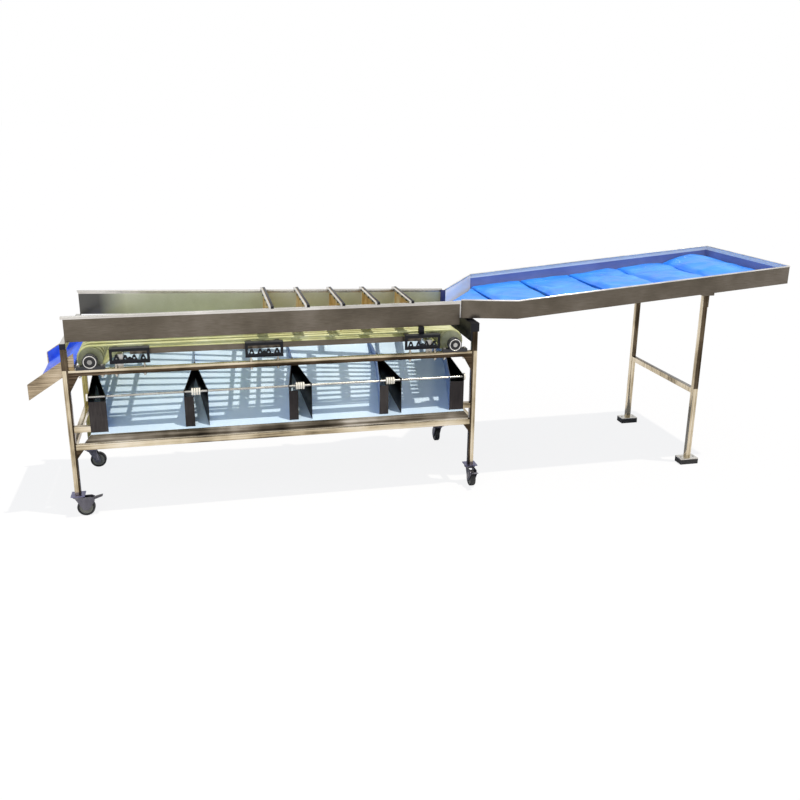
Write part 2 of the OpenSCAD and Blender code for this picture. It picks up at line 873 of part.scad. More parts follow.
module chute_divider_a() {
  divider(divider_x(0));
}

module chute_divider_b() {
  divider(divider_x(1));
}

module chute_divider_c() {
  divider(divider_x(2));
}

module chute_wall_left() {
  color(steel) {
    chute_plates(chute_x0 - cut, chute_x0 + divider_width) {
      union() {
        polygon(vee(chute_x0 + end_flare, chute_x0));
        translate([chute_x0, 0]) square([chute_sheet, chute_back_y]);
      }
    }
    bar([chute_x0, 0, flange_foot], [chute_x0 + end_flare + chute_sheet, chute_sheet, flange_z]);
  }
}

module chute_wall_right() {
  color(steel) {
    chute_plates(chute_x1 - divider_width, chute_x1 + cut) {
      union() {
        polygon(vee(chute_x1 - end_flare + chute_sheet, chute_x1 - chute_sheet));
        translate([chute_x1 - chute_sheet, 0]) square([chute_sheet, chute_back_y]);
      }
    }
    bar([chute_x1 - end_flare + chute_sheet, 0, flange_foot], [chute_x1, chute_sheet, flange_z]);
  }
}

rod_proud = 8;
rod_x0 = chute_x0 - rod_proud;
rod_x1 = chute_x1 + rod_proud;
ring_gap = 0.3;

module divider_rod() {
  color(steel) rod_x(rod_x0, rod_x1, rod_y_pos, rod_z_pos, rod_radius);
}

module ring_at(x) {
  difference() {
    rod_x(x - ring_width / 2, x + ring_width / 2, rod_y_pos, rod_z_pos, ring_radius);
    rod_x(x - ring_width, x + ring_width, rod_y_pos, rod_z_pos, rod_radius + fit);
  }
}

module rod_rings() {
  color(white) {
    for (i = [0, 1, 2]) for (d = [-ring_far, -ring_near, ring_near, ring_far]) ring_at(divider_x(i) + d);
    ring_at(chute_x0 - ring_gap - ring_width / 2);
    ring_at(chute_x1 + ring_gap + ring_width / 2);
  }
}

// casters
leg_centres = [[half, half], [right_leg + half, half], [half, rear_leg + half],
  [right_leg + half, rear_leg + half]];

module caster_plates() {
  color(steel) for (c = leg_centres) translate([c[0], c[1], 0]) {
    bar([-plate_side / 2, -plate_side / 2, caster_height - plate_thick],
      [plate_side / 2, plate_side / 2, caster_height]);
    rod_z(swivel_low - king_head_h, caster_height, 0, 0, king_radius);
    rod_z(swivel_low - king_head_h - air, swivel_low - air, 0, 0, king_head_r);
  }
}

arm_in = wheel_width / 2 + arm_gap;
arm_out = arm_in + arm_thick;
arm_foot = 11;
arm_back_share = 0.6;
arm_front_share = 0.8;

arm_back = -swivel_radius * arm_back_share;
arm_front = swivel_radius * arm_front_share;
arm_shoe = [[arm_back, swivel_low], [caster_trail - arm_foot, wheel_radius - arm_foot],
  [caster_trail + arm_foot, wheel_radius - arm_foot]];
arm_plain = [[caster_trail + arm_foot, wheel_radius + arm_foot], [arm_front, swivel_low + cut],
  [arm_back, swivel_low + cut]];
arm_braked = [[pedal_x + pedal_barrel, pedal_z - pedal_barrel],
  [pedal_x + pedal_barrel, pedal_z + pedal_barrel],
  [pedal_x - pedal_barrel, swivel_low + cut], [arm_back, swivel_low + cut]];

module fork_arm(y0, braked) {
  slab_xz(concat(arm_shoe, braked ? arm_braked : arm_plain), y0, y0 + arm_thick);
}

module fork(braked) {
  difference() {
    rod_z(swivel_low, swivel_top, 0, 0, swivel_radius);
    rod_z(swivel_low - cut, swivel_top + cut, 0, 0, king_radius + fit);
  }
  difference() {
    union() {
      fork_arm(arm_in, braked);
      fork_arm(-arm_out, braked);
    }
    rod_z(0, swivel_low, 0, 0, king_head_r + cut);
    rod_z(0, swivel_top + cut, 0, 0, king_radius + cut);
  }
  rod_y(-arm_out - cut, arm_out + cut, caster_trail, wheel_radius, axle_radius);
  if (braked) rod_y(-arm_out, arm_out, pedal_x, pedal_z, pedal_pin_r);
}

module wheel() {
  translate([caster_trail, 0, wheel_radius]) rotate([90, 0, 0]) rotate_extrude() polygon([
    [axle_radius + fit, -wheel_width / 2 - hub_proud], [hub_radius, -wheel_width / 2 - hub_proud],
    [hub_radius, -wheel_width / 2 + tread_round],
    [wheel_radius - 3 * tread_round, -wheel_width / 2 + tread_round],
    [wheel_radius - 2 * tread_round, -wheel_width / 2], [wheel_radius - tread_round, -wheel_width / 2],
    [wheel_radius, -wheel_width / 2 + tread_round], [wheel_radius, wheel_width / 2 - tread_round],
    [wheel_radius - tread_round, wheel_width / 2], [wheel_radius - 2 * tread_round, wheel_width / 2],
    [wheel_radius - 3 * tread_round, wheel_width / 2 - tread_round],
    [hub_radius, wheel_width / 2 - tread_round], [hub_radius, wheel_width / 2 + hub_proud],
    [axle_radius + fit, wheel_width / 2 + hub_proud]]);
}

module pedal() {
  difference() {
    union() {
      rod_y(-pedal_half, pedal_half, pedal_x, pedal_z, pedal_barrel);
      slab_xz([[pedal_x, pedal_z + pedal_thick], [pedal_x + pedal_barrel, pedal_z],
        [pedal_x + pedal_barrel + pedal_length, pedal_z + pedal_rise],
        [pedal_x + pedal_barrel + pedal_length, pedal_z + pedal_rise + pedal_thick],
        [pedal_x, pedal_z + pedal_barrel]], -pedal_half, pedal_half);
    }
    rod_y(-wheel_width, wheel_width, pedal_x, pedal_z, pedal_pin_r + fit);
  }
}

caster_turns = [0, -90, 0, 90];

module at_caster(i) {
  translate([leg_centres[i][0], leg_centres[i][1], 0]) rotate([0, 0, caster_turns[i]]) children();
}

module fork_fl() {
  color(steel) at_caster(0) fork(true);
}

module fork_fr() {
  color(steel) at_caster(1) fork(true);
}

module fork_rl() {
  color(steel) at_caster(2) fork(false);
}

module fork_rr() {
  color(steel) at_caster(3) fork(false);
}

module wheel_fl() {
  color(black) at_caster(0) wheel();
}

module wheel_fr() {
  color(black) at_caster(1) wheel();
}

module wheel_rl() {
  color(black) at_caster(2) wheel();
}

module wheel_rr() {
  color(black) at_caster(3) wheel();
}

module pedal_fl() {
  color(black) at_caster(0) pedal();
}

module pedal_fr() {
  color(black) at_caster(1) pedal();
}

// feed tray
function tray_band(high) = [[tray_x0, tray_z], [tray_x1, tray_floor(tray_x1)],
  [tray_x1, tray_floor(tray_x1) + high], [tray_x0, tray_z + high]];

module feed_tray() {
  end_z = tray_floor(tray_x1);
  color(steel) {
    slab_xz(tray_band(tray_sheet), tray_y0, tray_y1);
    for (y = [tray_y0, tray_y1 - tray_sheet]) slab_xz(tray_band(tray_side), y, y + tray_sheet);
    bar([tray_x1 - tray_sheet, tray_y0, end_z], [tray_x1, tray_y1, end_z + tray_side]);
    slab_xy([[neck_x0, neck_y0], [tray_x0, tray_y0], [tray_x0, tray_y1], [neck_x0, neck_y1]],
      tray_z, tray_z + tray_sheet);
    slab_xy([[neck_x0, neck_y0], [tray_x0, tray_y0], [tray_x0, tray_y0 + tray_sheet],
      [neck_x0, neck_y0 + tray_sheet]], tray_z, tray_z + tray_side);
    slab_xy([[neck_x0, neck_y1 - 2 * tray_sheet], [tray_x0, tray_y1 - 2 * tray_sheet], [tray_x0, tray_y1],
      [neck_x0, neck_y1]], tray_z, tray_z + tray_side);
  }
}

// soft pads: a crowned top over a flat underside, sides drawn in between the corners
function swell(u, v) = pad_edge + pad_crown * pow(sin(180 * u), 0.6) * pow(sin(180 * v), 0.6);
function drawn(u) = pad_draw * sin(180 * u);

function pad_row(x0, x1, ya0, ya1, yb0, yb1, i, rise) = [for (j = [0 : pad_ny])
  let (u = i / pad_nx, v = j / pad_ny,
    xa = x0 + (x1 - x0) * u + drawn(v) * (1 - 2 * u),
    f = ya0 + (ya1 - ya0) * u, b = yb0 + (yb1 - yb0) * u,
    y = f + (b - f) * v + drawn(u) * (1 - 2 * v),
    z = tray_floor(xa) + tray_sheet + pad_lift)
  [xa, y, z + (rise ? swell(u, v) : 0)]];

function pad_points(x0, x1, ya0, ya1, yb0, yb1) = concat(
  flat_list([for (i = [0 : pad_nx]) pad_row(x0, x1, ya0, ya1, yb0, yb1, i, true)]),
  flat_list([for (i = [0 : pad_nx]) pad_row(x0, x1, ya0, ya1, yb0, yb1, i, false)]));

pad_cols = pad_ny + 1;
pad_under = (pad_nx + 1) * pad_cols;
function pad_id(i, j, low) = (low ? pad_under : 0) + i * pad_cols + j;

pad_faces = concat(
  [for (i = [0 : pad_nx - 1]) for (j = [0 : pad_ny - 1]) each
    [[pad_id(i, j, false), pad_id(i, j + 1, false), pad_id(i + 1, j + 1, false)],
    [pad_id(i, j, false), pad_id(i + 1, j + 1, false), pad_id(i + 1, j, false)]]],
  [for (i = [0 : pad_nx - 1]) for (j = [0 : pad_ny - 1]) each
    [[pad_id(i, j, true), pad_id(i + 1, j + 1, true), pad_id(i, j + 1, true)],
    [pad_id(i, j, true), pad_id(i + 1, j, true), pad_id(i + 1, j + 1, true)]]],
  [for (i = [0 : pad_nx - 1]) each
    [[pad_id(i, 0, false), pad_id(i + 1, 0, false), pad_id(i + 1, 0, true)],
    [pad_id(i, 0, false), pad_id(i + 1, 0, true), pad_id(i, 0, true)],
    [pad_id(i, pad_ny, false), pad_id(i + 1, pad_ny, true), pad_id(i + 1, pad_ny, false)],
    [pad_id(i, pad_ny, false), pad_id(i, pad_ny, true), pad_id(i + 1, pad_ny, true)]]],
  [for (j = [0 : pad_ny - 1]) each
    [[pad_id(0, j, false), pad_id(0, j + 1, true), pad_id(0, j + 1, false)],
    [pad_id(0, j, false), pad_id(0, j, true), pad_id(0, j + 1, true)],
    [pad_id(pad_nx, j, false), pad_id(pad_nx, j + 1, false), pad_id(pad_nx, j + 1, true)],
    [pad_id(pad_nx, j, false), pad_id(pad_nx, j + 1, true), pad_id(pad_nx, j, true)]]]);

module pad(x0, x1, ya0, ya1, yb0, yb1) {
  color(blue) polyhedron(points = pad_points(x0, x1, ya0, ya1, yb0, yb1), faces = pad_faces);
}

module tray_pad(i) {
  span = (tray_length - tray_sheet - pad_clear) / tray_pads;
  pad(tray_x0 + pad_clear + i * span, tray_x0 + (i + 1) * span, tray_y0 + tray_sheet + pad_clear,
    tray_y0 + tray_sheet + pad_clear, tray_y1 - tray_sheet - pad_clear, tray_y1 - tray_sheet - pad_clear);
}

function neck_front(x) = neck_y0 + (tray_y0 - neck_y0) * (x - neck_x0) / (tray_x0 - neck_x0);
function neck_rear(x) = neck_y1 + (tray_y1 - neck_y1) * (x - neck_x0) / (tray_x0 - neck_x0);
neck_clear = 2 * pad_clear + 2 * tray_sheet;

module neck_pad() {
  xa = pad_neck_x;
  xb = tray_x0 - pad_clear;
  pad(xa, xb, neck_front(xa) + neck_clear, neck_front(xb) + neck_clear, neck_rear(xa) - 2 * neck_clear,
    neck_rear(xb) - 2 * neck_clear);
}

module feed_pad_1() {
  tray_pad(0);
}

module feed_pad_2() {
  tray_pad(1);
}

module feed_pad_3() {
  tray_pad(2);
}

module feed_pad_4() {
  tray_pad(3);
}

module feed_pad_5() {
  tray_pad(4);
}

// stand
module stand_frame() {
  color(steel) {
    for (y = [stand_front_y, stand_rear_y]) tube_z(foot_block + foot_plate, stand_top, stand_x - half, y);
    tube_y(stand_front_y + tube, stand_rear_y, stand_x - half, stand_bar_z);
  }
}

module stand_feet() {
  color(steel) for (y = [stand_front_y + half, stand_rear_y + half]) difference() {
    bar([stand_x - foot_length / 2, y - foot_width / 2, foot_block],
      [stand_x + foot_length / 2, y + foot_width / 2, foot_block + foot_plate]);
    for (s = [-1, 1])
      rod_z(foot_block - cut, foot_block + foot_plate + cut, stand_x + s * foot_hole_x, y, foot_hole);
  }
}

module stand_pads() {
  color(black) for (y = [stand_front_y + half, stand_rear_y + half]) difference() {
    bar([stand_x - foot_length / 2, y - foot_width / 2, 0],
      [stand_x + foot_length / 2, y + foot_width / 2, foot_block]);
    for (s = [-1, 1]) rod_z(-cut, foot_block + cut, stand_x + s * foot_hole_x, y, foot_hole);
  }
}

module stand_brackets() {
  color(dark_steel) for (y = [stand_front_y + half, stand_rear_y + half]) {
    slab_xz([[stand_x - bracket_length / 2, stand_top], [stand_x + bracket_length / 2, stand_top],
      [stand_x + bracket_length / 2, tray_floor(stand_x + bracket_length / 2)],
      [stand_x - bracket_length / 2, tray_floor(stand_x - bracket_length / 2)]],
      y - bracket_width / 2, y + bracket_width / 2);
    bar([stand_x + half, y - half, stand_top - bracket_drop],
      [stand_x + half + bracket_cheek, y + half, stand_top]);
  }
}

// discharge tray
function discharge_band(x0, x1, low, high) = [[x0, discharge_z(x0) + low], [x1, discharge_z(x1) + low],
  [x1, discharge_z(x1) + high], [x0, discharge_z(x0) + high]];

module discharge_tray() {
  color(steel) {
    slab_xz(discharge_band(discharge_x0, discharge_x1, 0, discharge_sheet), discharge_y0, discharge_y1);
    for (y = [discharge_y0, discharge_y1 - discharge_sheet])
      slab_xz(discharge_band(discharge_x0, discharge_x1, 0, discharge_side), y, y + discharge_sheet);
  }
}

discharge_pad_inset = discharge_sheet + cheek_pad + pad_clear;

function slope_row(i, rise) = [for (j = [0 : pad_ny])
  let (u = i / pad_nx, v = j / pad_ny,
    x = discharge_x0 + pad_clear + (discharge_run - 2 * pad_clear) * u + drawn(v) * (1 - 2 * u),
    y = discharge_y0 + discharge_pad_inset + (discharge_y1 - discharge_y0 - 2 * discharge_pad_inset) * v
      + drawn(u) * (1 - 2 * v))
  [x, y, discharge_z(x) + discharge_sheet + pad_lift + (rise ? swell(u, v) : 0)]];

module discharge_pad() {
  color(blue) {
    polyhedron(points = concat(flat_list([for (i = [0 : pad_nx]) slope_row(i, true)]),
      flat_list([for (i = [0 : pad_nx]) slope_row(i, false)])), faces = pad_faces);
    for (y = [discharge_y0 + discharge_sheet, discharge_y1 - discharge_sheet - cheek_pad])
      slab_xz(discharge_band(discharge_x0 + pad_clear, discharge_x1 - pad_clear, discharge_sheet + pad_lift,
        discharge_side), y, y + cheek_pad);
  }
}

// drive
module drive_motor() {
  color(dark_steel) {
    difference() {
      bar([drive_x - gearbox_side / 2, frame_width - gearbox_depth, drive_z - gearbox_side / 2],
        [drive_x + gearbox_side / 2, frame_width, drive_z + gearbox_side / 2]);
      rod_y(frame_width - out_shaft_in - cut, frame_width + cut, drive_x, drive_z, motor_shaft_r + fit);
    }
    rod_x(motor_x0, motor_x1, motor_y, motor_z, motor_radius);
    rod_x(motor_x0, motor_x0 + motor_cap, motor_y, motor_z, motor_cap_r);
    bar([terminal_x - terminal / 2, motor_y - terminal / 2, motor_z - motor_radius - terminal_h],
      [terminal_x + terminal / 2, motor_y + terminal / 2, motor_z]);
    rod_x(terminal_x - terminal / 2 - gland_h, terminal_x - terminal / 2, motor_y,
      motor_z - motor_radius - terminal_h / 2, gland_r);
  }
}

module motor_sprocket() {
  color(dark_steel) {
    rod_y(frame_width - out_shaft_in, out_shaft_end, drive_x, drive_z, motor_shaft_r);
    rod_y(sprocket_y, sprocket_y + sprocket_w, drive_x, drive_z, sprocket_motor_r);
  }
}

chain_dx = drum_right_x - drive_x;
chain_dz = axis_z - drive_z;
chain_span = sqrt(chain_dx * chain_dx + chain_dz * chain_dz);
chain_turn = atan2(chain_dz, chain_dx);

module loop_shape(grow) {
  hull() {
    circle(r = sprocket_motor_r + grow, $fn = fine_fn);
    translate([chain_span, 0]) circle(r = sprocket_drum_r + grow, $fn = fine_fn);
  }
}

module on_chain(y1, depth) {
  translate([drive_x, y1, drive_z]) rotate([90, 0, 0]) rotate([0, 0, chain_turn])
    linear_extrude(depth) children();
}

module drive_chain() {
  color(dark_steel) on_chain(sprocket_y + sprocket_w / 2 + chain_w / 2, chain_w) difference() {
    loop_shape(chain_thick);
    loop_shape(2 * air);
  }
}

module chain_guard() {
  color(steel) {
    on_chain(sprocket_y + guard_depth, guard_depth + sprocket_y - frame_width - hanger_sheet) difference() {
      loop_shape(chain_thick + guard_gap + guard_wall);
      loop_shape(chain_thick + guard_gap);
    }
    on_chain(sprocket_y + guard_depth + guard_wall, guard_wall)
      loop_shape(chain_thick + guard_gap + guard_wall);
  }
}

translate([-x_mid, -y_mid, 0]) {
  frame_legs();
  top_crossbars();
  upper_rails();
  lower_rails();
  lower_crossbars();
  frame_gussets();
  chute_brackets();
  side_wall_front();
  side_wall_rear();
  rear_brackets();
  spreader_bars();
  spreader_clamps();
  spreader_bolts();
  curtain_strips();
  drum_left();
  drum_right();
  grading_ropes();
  bearing_housings();
  bearing_inserts();
  rail_bolts();
  comb_brackets();
  comb_flats();
  return_guides();
  support_blocks();
  chute_floor();
  chute_wall_left();
  chute_divider_a();
  chute_divider_b();
  chute_divider_c();
  chute_wall_right();
  divider_rod();
  rod_rings();
  caster_plates();
  fork_fl();
  fork_fr();
  fork_rl();
  fork_rr();
  wheel_fl();
  wheel_fr();
  wheel_rl();
  wheel_rr();
  pedal_fl();
  pedal_fr();
  feed_tray();
  neck_pad();
  feed_pad_1();
  feed_pad_2();
  feed_pad_3();
  feed_pad_4();
  feed_pad_5();
  stand_frame();
  stand_feet();
  stand_pads();
  stand_brackets();
  discharge_tray();
  discharge_pad();
  drive_motor();
  motor_sprocket();
  drive_chain();
  chain_guard();
}
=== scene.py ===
import json
import math

import bpy
from mathutils import Matrix, Vector, noise

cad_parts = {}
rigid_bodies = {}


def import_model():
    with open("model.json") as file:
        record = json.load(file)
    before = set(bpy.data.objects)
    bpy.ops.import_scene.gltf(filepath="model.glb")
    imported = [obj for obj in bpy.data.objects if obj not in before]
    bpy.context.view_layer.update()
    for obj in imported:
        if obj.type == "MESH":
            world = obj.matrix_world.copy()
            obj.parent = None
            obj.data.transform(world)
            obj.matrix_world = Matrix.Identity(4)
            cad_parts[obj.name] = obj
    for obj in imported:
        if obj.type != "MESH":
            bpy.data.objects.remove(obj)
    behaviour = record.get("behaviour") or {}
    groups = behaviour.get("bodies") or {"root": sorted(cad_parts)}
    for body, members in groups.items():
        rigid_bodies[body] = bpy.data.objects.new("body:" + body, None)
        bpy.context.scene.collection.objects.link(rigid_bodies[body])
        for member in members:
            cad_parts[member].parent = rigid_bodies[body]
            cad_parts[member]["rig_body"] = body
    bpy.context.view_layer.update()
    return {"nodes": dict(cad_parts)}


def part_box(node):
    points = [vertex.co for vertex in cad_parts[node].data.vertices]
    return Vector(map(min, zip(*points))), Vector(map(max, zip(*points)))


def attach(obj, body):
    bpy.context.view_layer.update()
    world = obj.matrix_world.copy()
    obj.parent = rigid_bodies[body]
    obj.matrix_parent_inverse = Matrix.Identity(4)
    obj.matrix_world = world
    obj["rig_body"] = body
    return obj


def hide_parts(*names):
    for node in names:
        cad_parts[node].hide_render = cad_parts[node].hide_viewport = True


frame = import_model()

NODES = frame["nodes"]
MM = 0.001
# The machine's own corner, the outer front left leg at the floor, in the row frame
ORIGIN_X = -1618.0
ORIGIN_Y = -323.75


def place(x, y, z):
    """A point given in millimetres from the machine's corner, in the row frame's metres."""
    return Vector(((x + ORIGIN_X) * MM, (y + ORIGIN_Y) * MM, z * MM))


# Camera at the photograph's viewing angle
CAMERA_AT = place(562.0, -3707.9, 1659.9)
CAMERA_YAW = 13.175
CAMERA_PITCH = 17.236
CAMERA_ROLL = 0.591
CAMERA_LENS = 39.44
CAMERA_SENSOR = 36.0
CAMERA_SHIFT = (0.0022, -0.0092)

# Light from above, with one soft lamp from the left; places in the row frame's metres
SUN_STRENGTH = 2.9
SUN_COLOUR = "#FFF6E8"
SUN_ANGLE = 1.2
SUN_AIM = (-0.3, 0.14, -1.0)
SOFTBOX_AT = (-2.4, -3.0, 2.6)
SOFTBOX_AIM = (0.0, 0.0, 0.5)
SOFTBOX_SIZE = (3.0, 2.0)
SOFTBOX_POWER = 30.0
SKY_TINT = "#D3E0FF"
SKY_STRENGTH = 0.5
FLOOR_COLOUR = "#EDEDED"
FLOOR_SIZE = 400.0
FLOOR_AT = (0.0, 8.0, -0.0005)
# Share of plain white that the camera sees in the floor; the rest keeps the shadow
FLOOR_WHITE = 0.86

# Sizes from here on are millimetres, and angles degrees
FRAME_LENGTH = 1800.0
FRAME_WIDTH = 600.0
TUBE = 25.0
UPPER_RAIL = (632.0, 657.0)
STAND_BAR = 370.0
# Width of the painted dark reflection along the inner edge of each front leg
LEG_STRIP = 8.0
# Share of the upper rails' height that is painted as shade
RAIL_SHADE = 0.6

# Trough and chutes
SHEET = 2.0
WALL_TOP = 883.0
WALL_FLANGE = 14.0
# Stretch at the left of the rear wall over which its inside is painted dark, as shade
SHADED_LEFT_END = (110.0, 235.0)
# Depth from the front at which the folded ends of the chute dividers stop
VEE_END = 160.0

# Hanging curtains: sheet, part held in the clamp, and how a strip bows, twists and cups
CURTAIN_SHEET = 1.1
CLAMP_HEIGHT = 10.0
STRIP_BOW = 3.0
STRIP_BOW_SPREAD = 4.0
STRIP_TWIST = 3.0
STRIP_CUP = 5.0
STRIP_STEPS = (6, 18)

# Feed tray with its neck, and the discharge tray
TRAY_X = (1990.0, 3380.0)
TRAY_Y = (5.0, 735.0)
TRAY_Z = 797.0
TRAY_RISE = math.tan(math.radians(5.0))
TRAY_SIDE = 84.0
TRAY_END_BAND = 20.0
BARE_EDGE = 20.0
RIM_WIRE = 3.4
NECK = (1738.0, 72.0, 338.0)
NECK_REAR = 150.0
# Lip at the open end of the neck: reach along X, cut of its lower corner
LIP_REACH = 24.0
LIP_CUT = 14.0
DISCHARGE_EDGE = (48.0, 655.0)
DISCHARGE_FALL = 33.0

# Drums in their housings, and the casters' hubs
DRUM_X = (113.0, 1693.0)
AXIS_Z = 690.3
SHAFT_REACH = 16.0
HOUSING_Y = (12.5, 587.5)
RING_RADIUS = 27.0
RING_WALL = 4.0
RING_DEPTH = 4.0
RING_CHAMFER = 1.0
RING_OUT = 16.0
RING_SIDES = 64
HUB_RADIUS = 27.0

# Round belts: the same route as the solids, with smooth turns
BELTS = 10
BELT_RADIUS = 6.0
BELT_TURN = 52.2
GUIDE_TURN = 18.3
GUIDE_WRAP = 40.0
RETURN_DROP = 27.5
GUIDE_RISE = BELT_TURN - RETURN_DROP - GUIDE_TURN
GUIDE_X = (BELT_TURN + GUIDE_TURN + GUIDE_RISE * math.cos(math.radians(GUIDE_WRAP))) / math.sin(
    math.radians(GUIDE_WRAP)
)
# First belt and pitch at the left drum and at the right drum
BELT_LEFT = (63.0, 52.5)
BELT_RIGHT = (79.98, 27.0)
RUN_STEPS = 24
DRUM_STEPS = 28
GUIDE_STEPS = 5
# Steps around a quarter of a cord or wire
WIRE_STEPS = 3

# Pads: mesh size, skin drawn in before it is blown up, gap over the sheet, reach past the solid
PAD_VOXEL = 6.0
PAD_DRAWN_IN = 1.2
PAD_FRAMES = 16
PAD_PRESSURE = 4.0
CLOTH_STIFFNESS = 12.0
CLOTH_BENDING = 0.4
PAD_GAP = 0.3
PAD_SPILL = (0.8, 1.0)
# Only what lies this far above the sheet is creased
PAD_TOP = 6.0
# Creases: how fast each kind changes, per metre along X and Y, across it and along it
SLOW_FOLDS = ((4.2, 2.1), (-1.6, 3.4))
QUICK_FOLDS = ((13.0, -6.0), (7.0, 11.0))
RIDGES = ((6.0, 5.0), (-2.4, 2.2))
SLOW_SHARE = 0.9
QUICK_SHARE = 0.35
RIDGE_LEVEL = 0.75
# How steeply creases rise from the edges of a pad, along X and along Y
CREASE_EDGE = (9.0, 14.0)
# Hump at a pad's rear: middle, spread and edge along X, start, curve and edge along Y, as shares
HUMP_X = (0.55, 0.38, 8.0)
HUMP_Y = (0.35, 1.5, 40.0)
FEED_PADS = 5
FEED_FOLDS = 13.0
FEED_CAP = 8.0
FEED_LIFT = 5.0
END_LIFT = 34.0

# Rounding of the edges of each kind of stock
TUBE_CORNER = 2.2
CAST_EDGE = 1.5
FOLDED_EDGE = 0.9
PLATE_EDGE = 0.8
FORK_EDGE = 0.7
COATED_EDGE = 0.6
SHEARED_EDGE = 0.5
TUBE_SEGMENTS = 3
EDGE_SEGMENTS = 2
SHARP_EDGE = 40.0
SMOOTH_SHEET = 35.0
SMOOTH_TURNED = 30.0
SMOOTH_ROLLED = 50.0
FLAT_ANGLE = 1.0
MERGE = 0.02

# How far a normal points along an axis before its face counts as leaning or facing that way
LEANS = 0.3
FACES = 0.5
SIDE_ON = 0.6
FLAT_ON = 0.7
UP = (0.0, 0.0, 1.0)
ENDWISE = (1.0, 0.0, 0.0)


def put(name, data):
    """A new object in the scene."""
    made = bpy.data.objects.new(name, data)
    bpy.context.scene.collection.objects.link(made)
    return made


def set_camera():
    lens = bpy.data.cameras.new("photo_camera")
    lens.sensor_width = CAMERA_SENSOR
    lens.lens = CAMERA_LENS
    lens.shift_x, lens.shift_y = CAMERA_SHIFT
    camera = put("photo_camera", lens)
    turn = (
        Matrix.Rotation(math.radians(-CAMERA_YAW), 4, "Z")
        @ Matrix.Rotation(math.radians(90.0 - CAMERA_PITCH), 4, "X")
        @ Matrix.Rotation(math.radians(CAMERA_ROLL), 4, "Z")
    )
    camera.matrix_world = Matrix.Translation(CAMERA_AT) @ turn
    bpy.context.scene.camera = camera


def colour(code):
    """An sRGB hex colour as linear red, green, blue and alpha."""
    parts = [int(code[k : k + 2], 16) / 255.0 for k in (1, 3, 5)]
    linear = [c / 12.92 if c <= 0.04045 else ((c + 0.055) / 1.055) ** 2.4 for c in parts]
    return (*linear, 1.0)


def add(tree, kind, inputs=None, stops=(), **settings):
    """Adds one node with its settings, sets or links its inputs, and gives a ramp its stops."""
    node = tree.nodes.new("ShaderNode" + kind)
    for name, value in settings.items():
        setattr(node, name, value)
    for key, value in (inputs or {}).items():
        if isinstance(value, bpy.types.NodeSocket):
            tree.links.new(value, node.inputs[key])
        else:
            node.inputs[key].default_value = value
    if stops:
        elements = node.color_ramp.elements
        while len(elements) < len(stops):
            elements.new(0.5)
        for element, (position, code) in zip(elements, stops):
            element.position = position
            element.color = colour(code)
    return node


def new_material(name):
    made = bpy.data.materials.new(name)
    made.use_nodes = True
    made.node_tree.nodes.clear()
    return made, made.node_tree


# Cloudy patches that handling and wear leave, and the depth of polishing lines and grain. Real
# lines and grain are a few tenths of a millimetre wide at most, too fine to show in the render,
# so each finish below draws them as coarse as they need to show.
HANDLED_PATCH = 200.0
WORN_PATCH = 111.11
LINE_DEPTH = 0.5
GRAIN_DEPTH = 0.4
# How much longer than wide a polishing line is, and how roughness spreads around its mean
LINE_STRETCH = 60.0
POLISH_SPREAD = (-0.07, 0.1)
WEAR_SPREAD = (-0.08, 0.1)


def steel_material(name, stops, along, roughness, grain_mm, bump=0.04, metallic=1.0, shaded_end=None):
    """Stainless steel whose polishing lines run along one axis. along is 0, 1 or 2 for X, Y or Z.

    The lines stretch the highlights along the sheet, and slow cloudy patches are what handling
    and wiping leave on it. Where the stops differ widely, they paint bright and dark bands of
    reflection into the colour.
    shaded_end is (from, to, colour) along X, in metres, for painted shade over one end of a sheet."""
    made, tree = new_material(name)
    where = add(tree, "TexCoord").outputs["Object"]
    stretch = [1.0 / (grain_mm * MM)] * 3
    stretch[along] = 1.0 / (grain_mm * MM * LINE_STRETCH)
    lines = add(tree, "Mapping", {"Vector": where, "Scale": stretch})
    fine = add(
        tree,
        "TexNoise",
        {"Vector": lines.outputs[0], "Scale": 1.0, "Detail": 4.0, "Roughness": 0.6},
    )
    patches = add(
        tree,
        "TexNoise",
        {"Vector": where, "Scale": 1.0 / (HANDLED_PATCH * MM), "Detail": 3.0, "Roughness": 0.55},
    )
    both = add(
        tree, "Math", {0: fine.outputs["Fac"], 1: patches.outputs["Fac"]}, operation="ADD"
    )
    mean = add(tree, "Math", {0: both.outputs[0], 1: 0.5}, operation="MULTIPLY")
    tint = add(tree, "ValToRGB", {"Fac": mean.outputs[0]}, stops).outputs["Color"]
    if shaded_end:
        start, stop, code = shaded_end
        axes = add(tree, "SeparateXYZ", {"Vector": where})
        share = add(
            tree, "MapRange", {"Value": axes.outputs["X"], "From Min": start, "From Max": stop}
        )
        mixed = add(tree, "MixRGB", {0: share.outputs[0], 1: colour(code), 2: tint})
        tint = mixed.outputs[0]
    rough = add(
        tree,
        "MapRange",
        {
            "Value": fine.outputs["Fac"],
            "To Min": roughness + POLISH_SPREAD[0],
            "To Max": roughness + POLISH_SPREAD[1],
        },
    )
    relief = add(
        tree,
        "Bump",
        {"Height": fine.outputs["Fac"], "Strength": bump, "Distance": LINE_DEPTH * MM},
    )
    shader = add(
        tree,
        "BsdfPrincipled",
        {
            "Base Color": tint,
            "Metallic": metallic,
            "Roughness": rough.outputs[0],
            "Normal": relief.outputs[0],
        },
    )
    add(tree, "OutputMaterial", {"Surface": shader.outputs[0]})
    return made


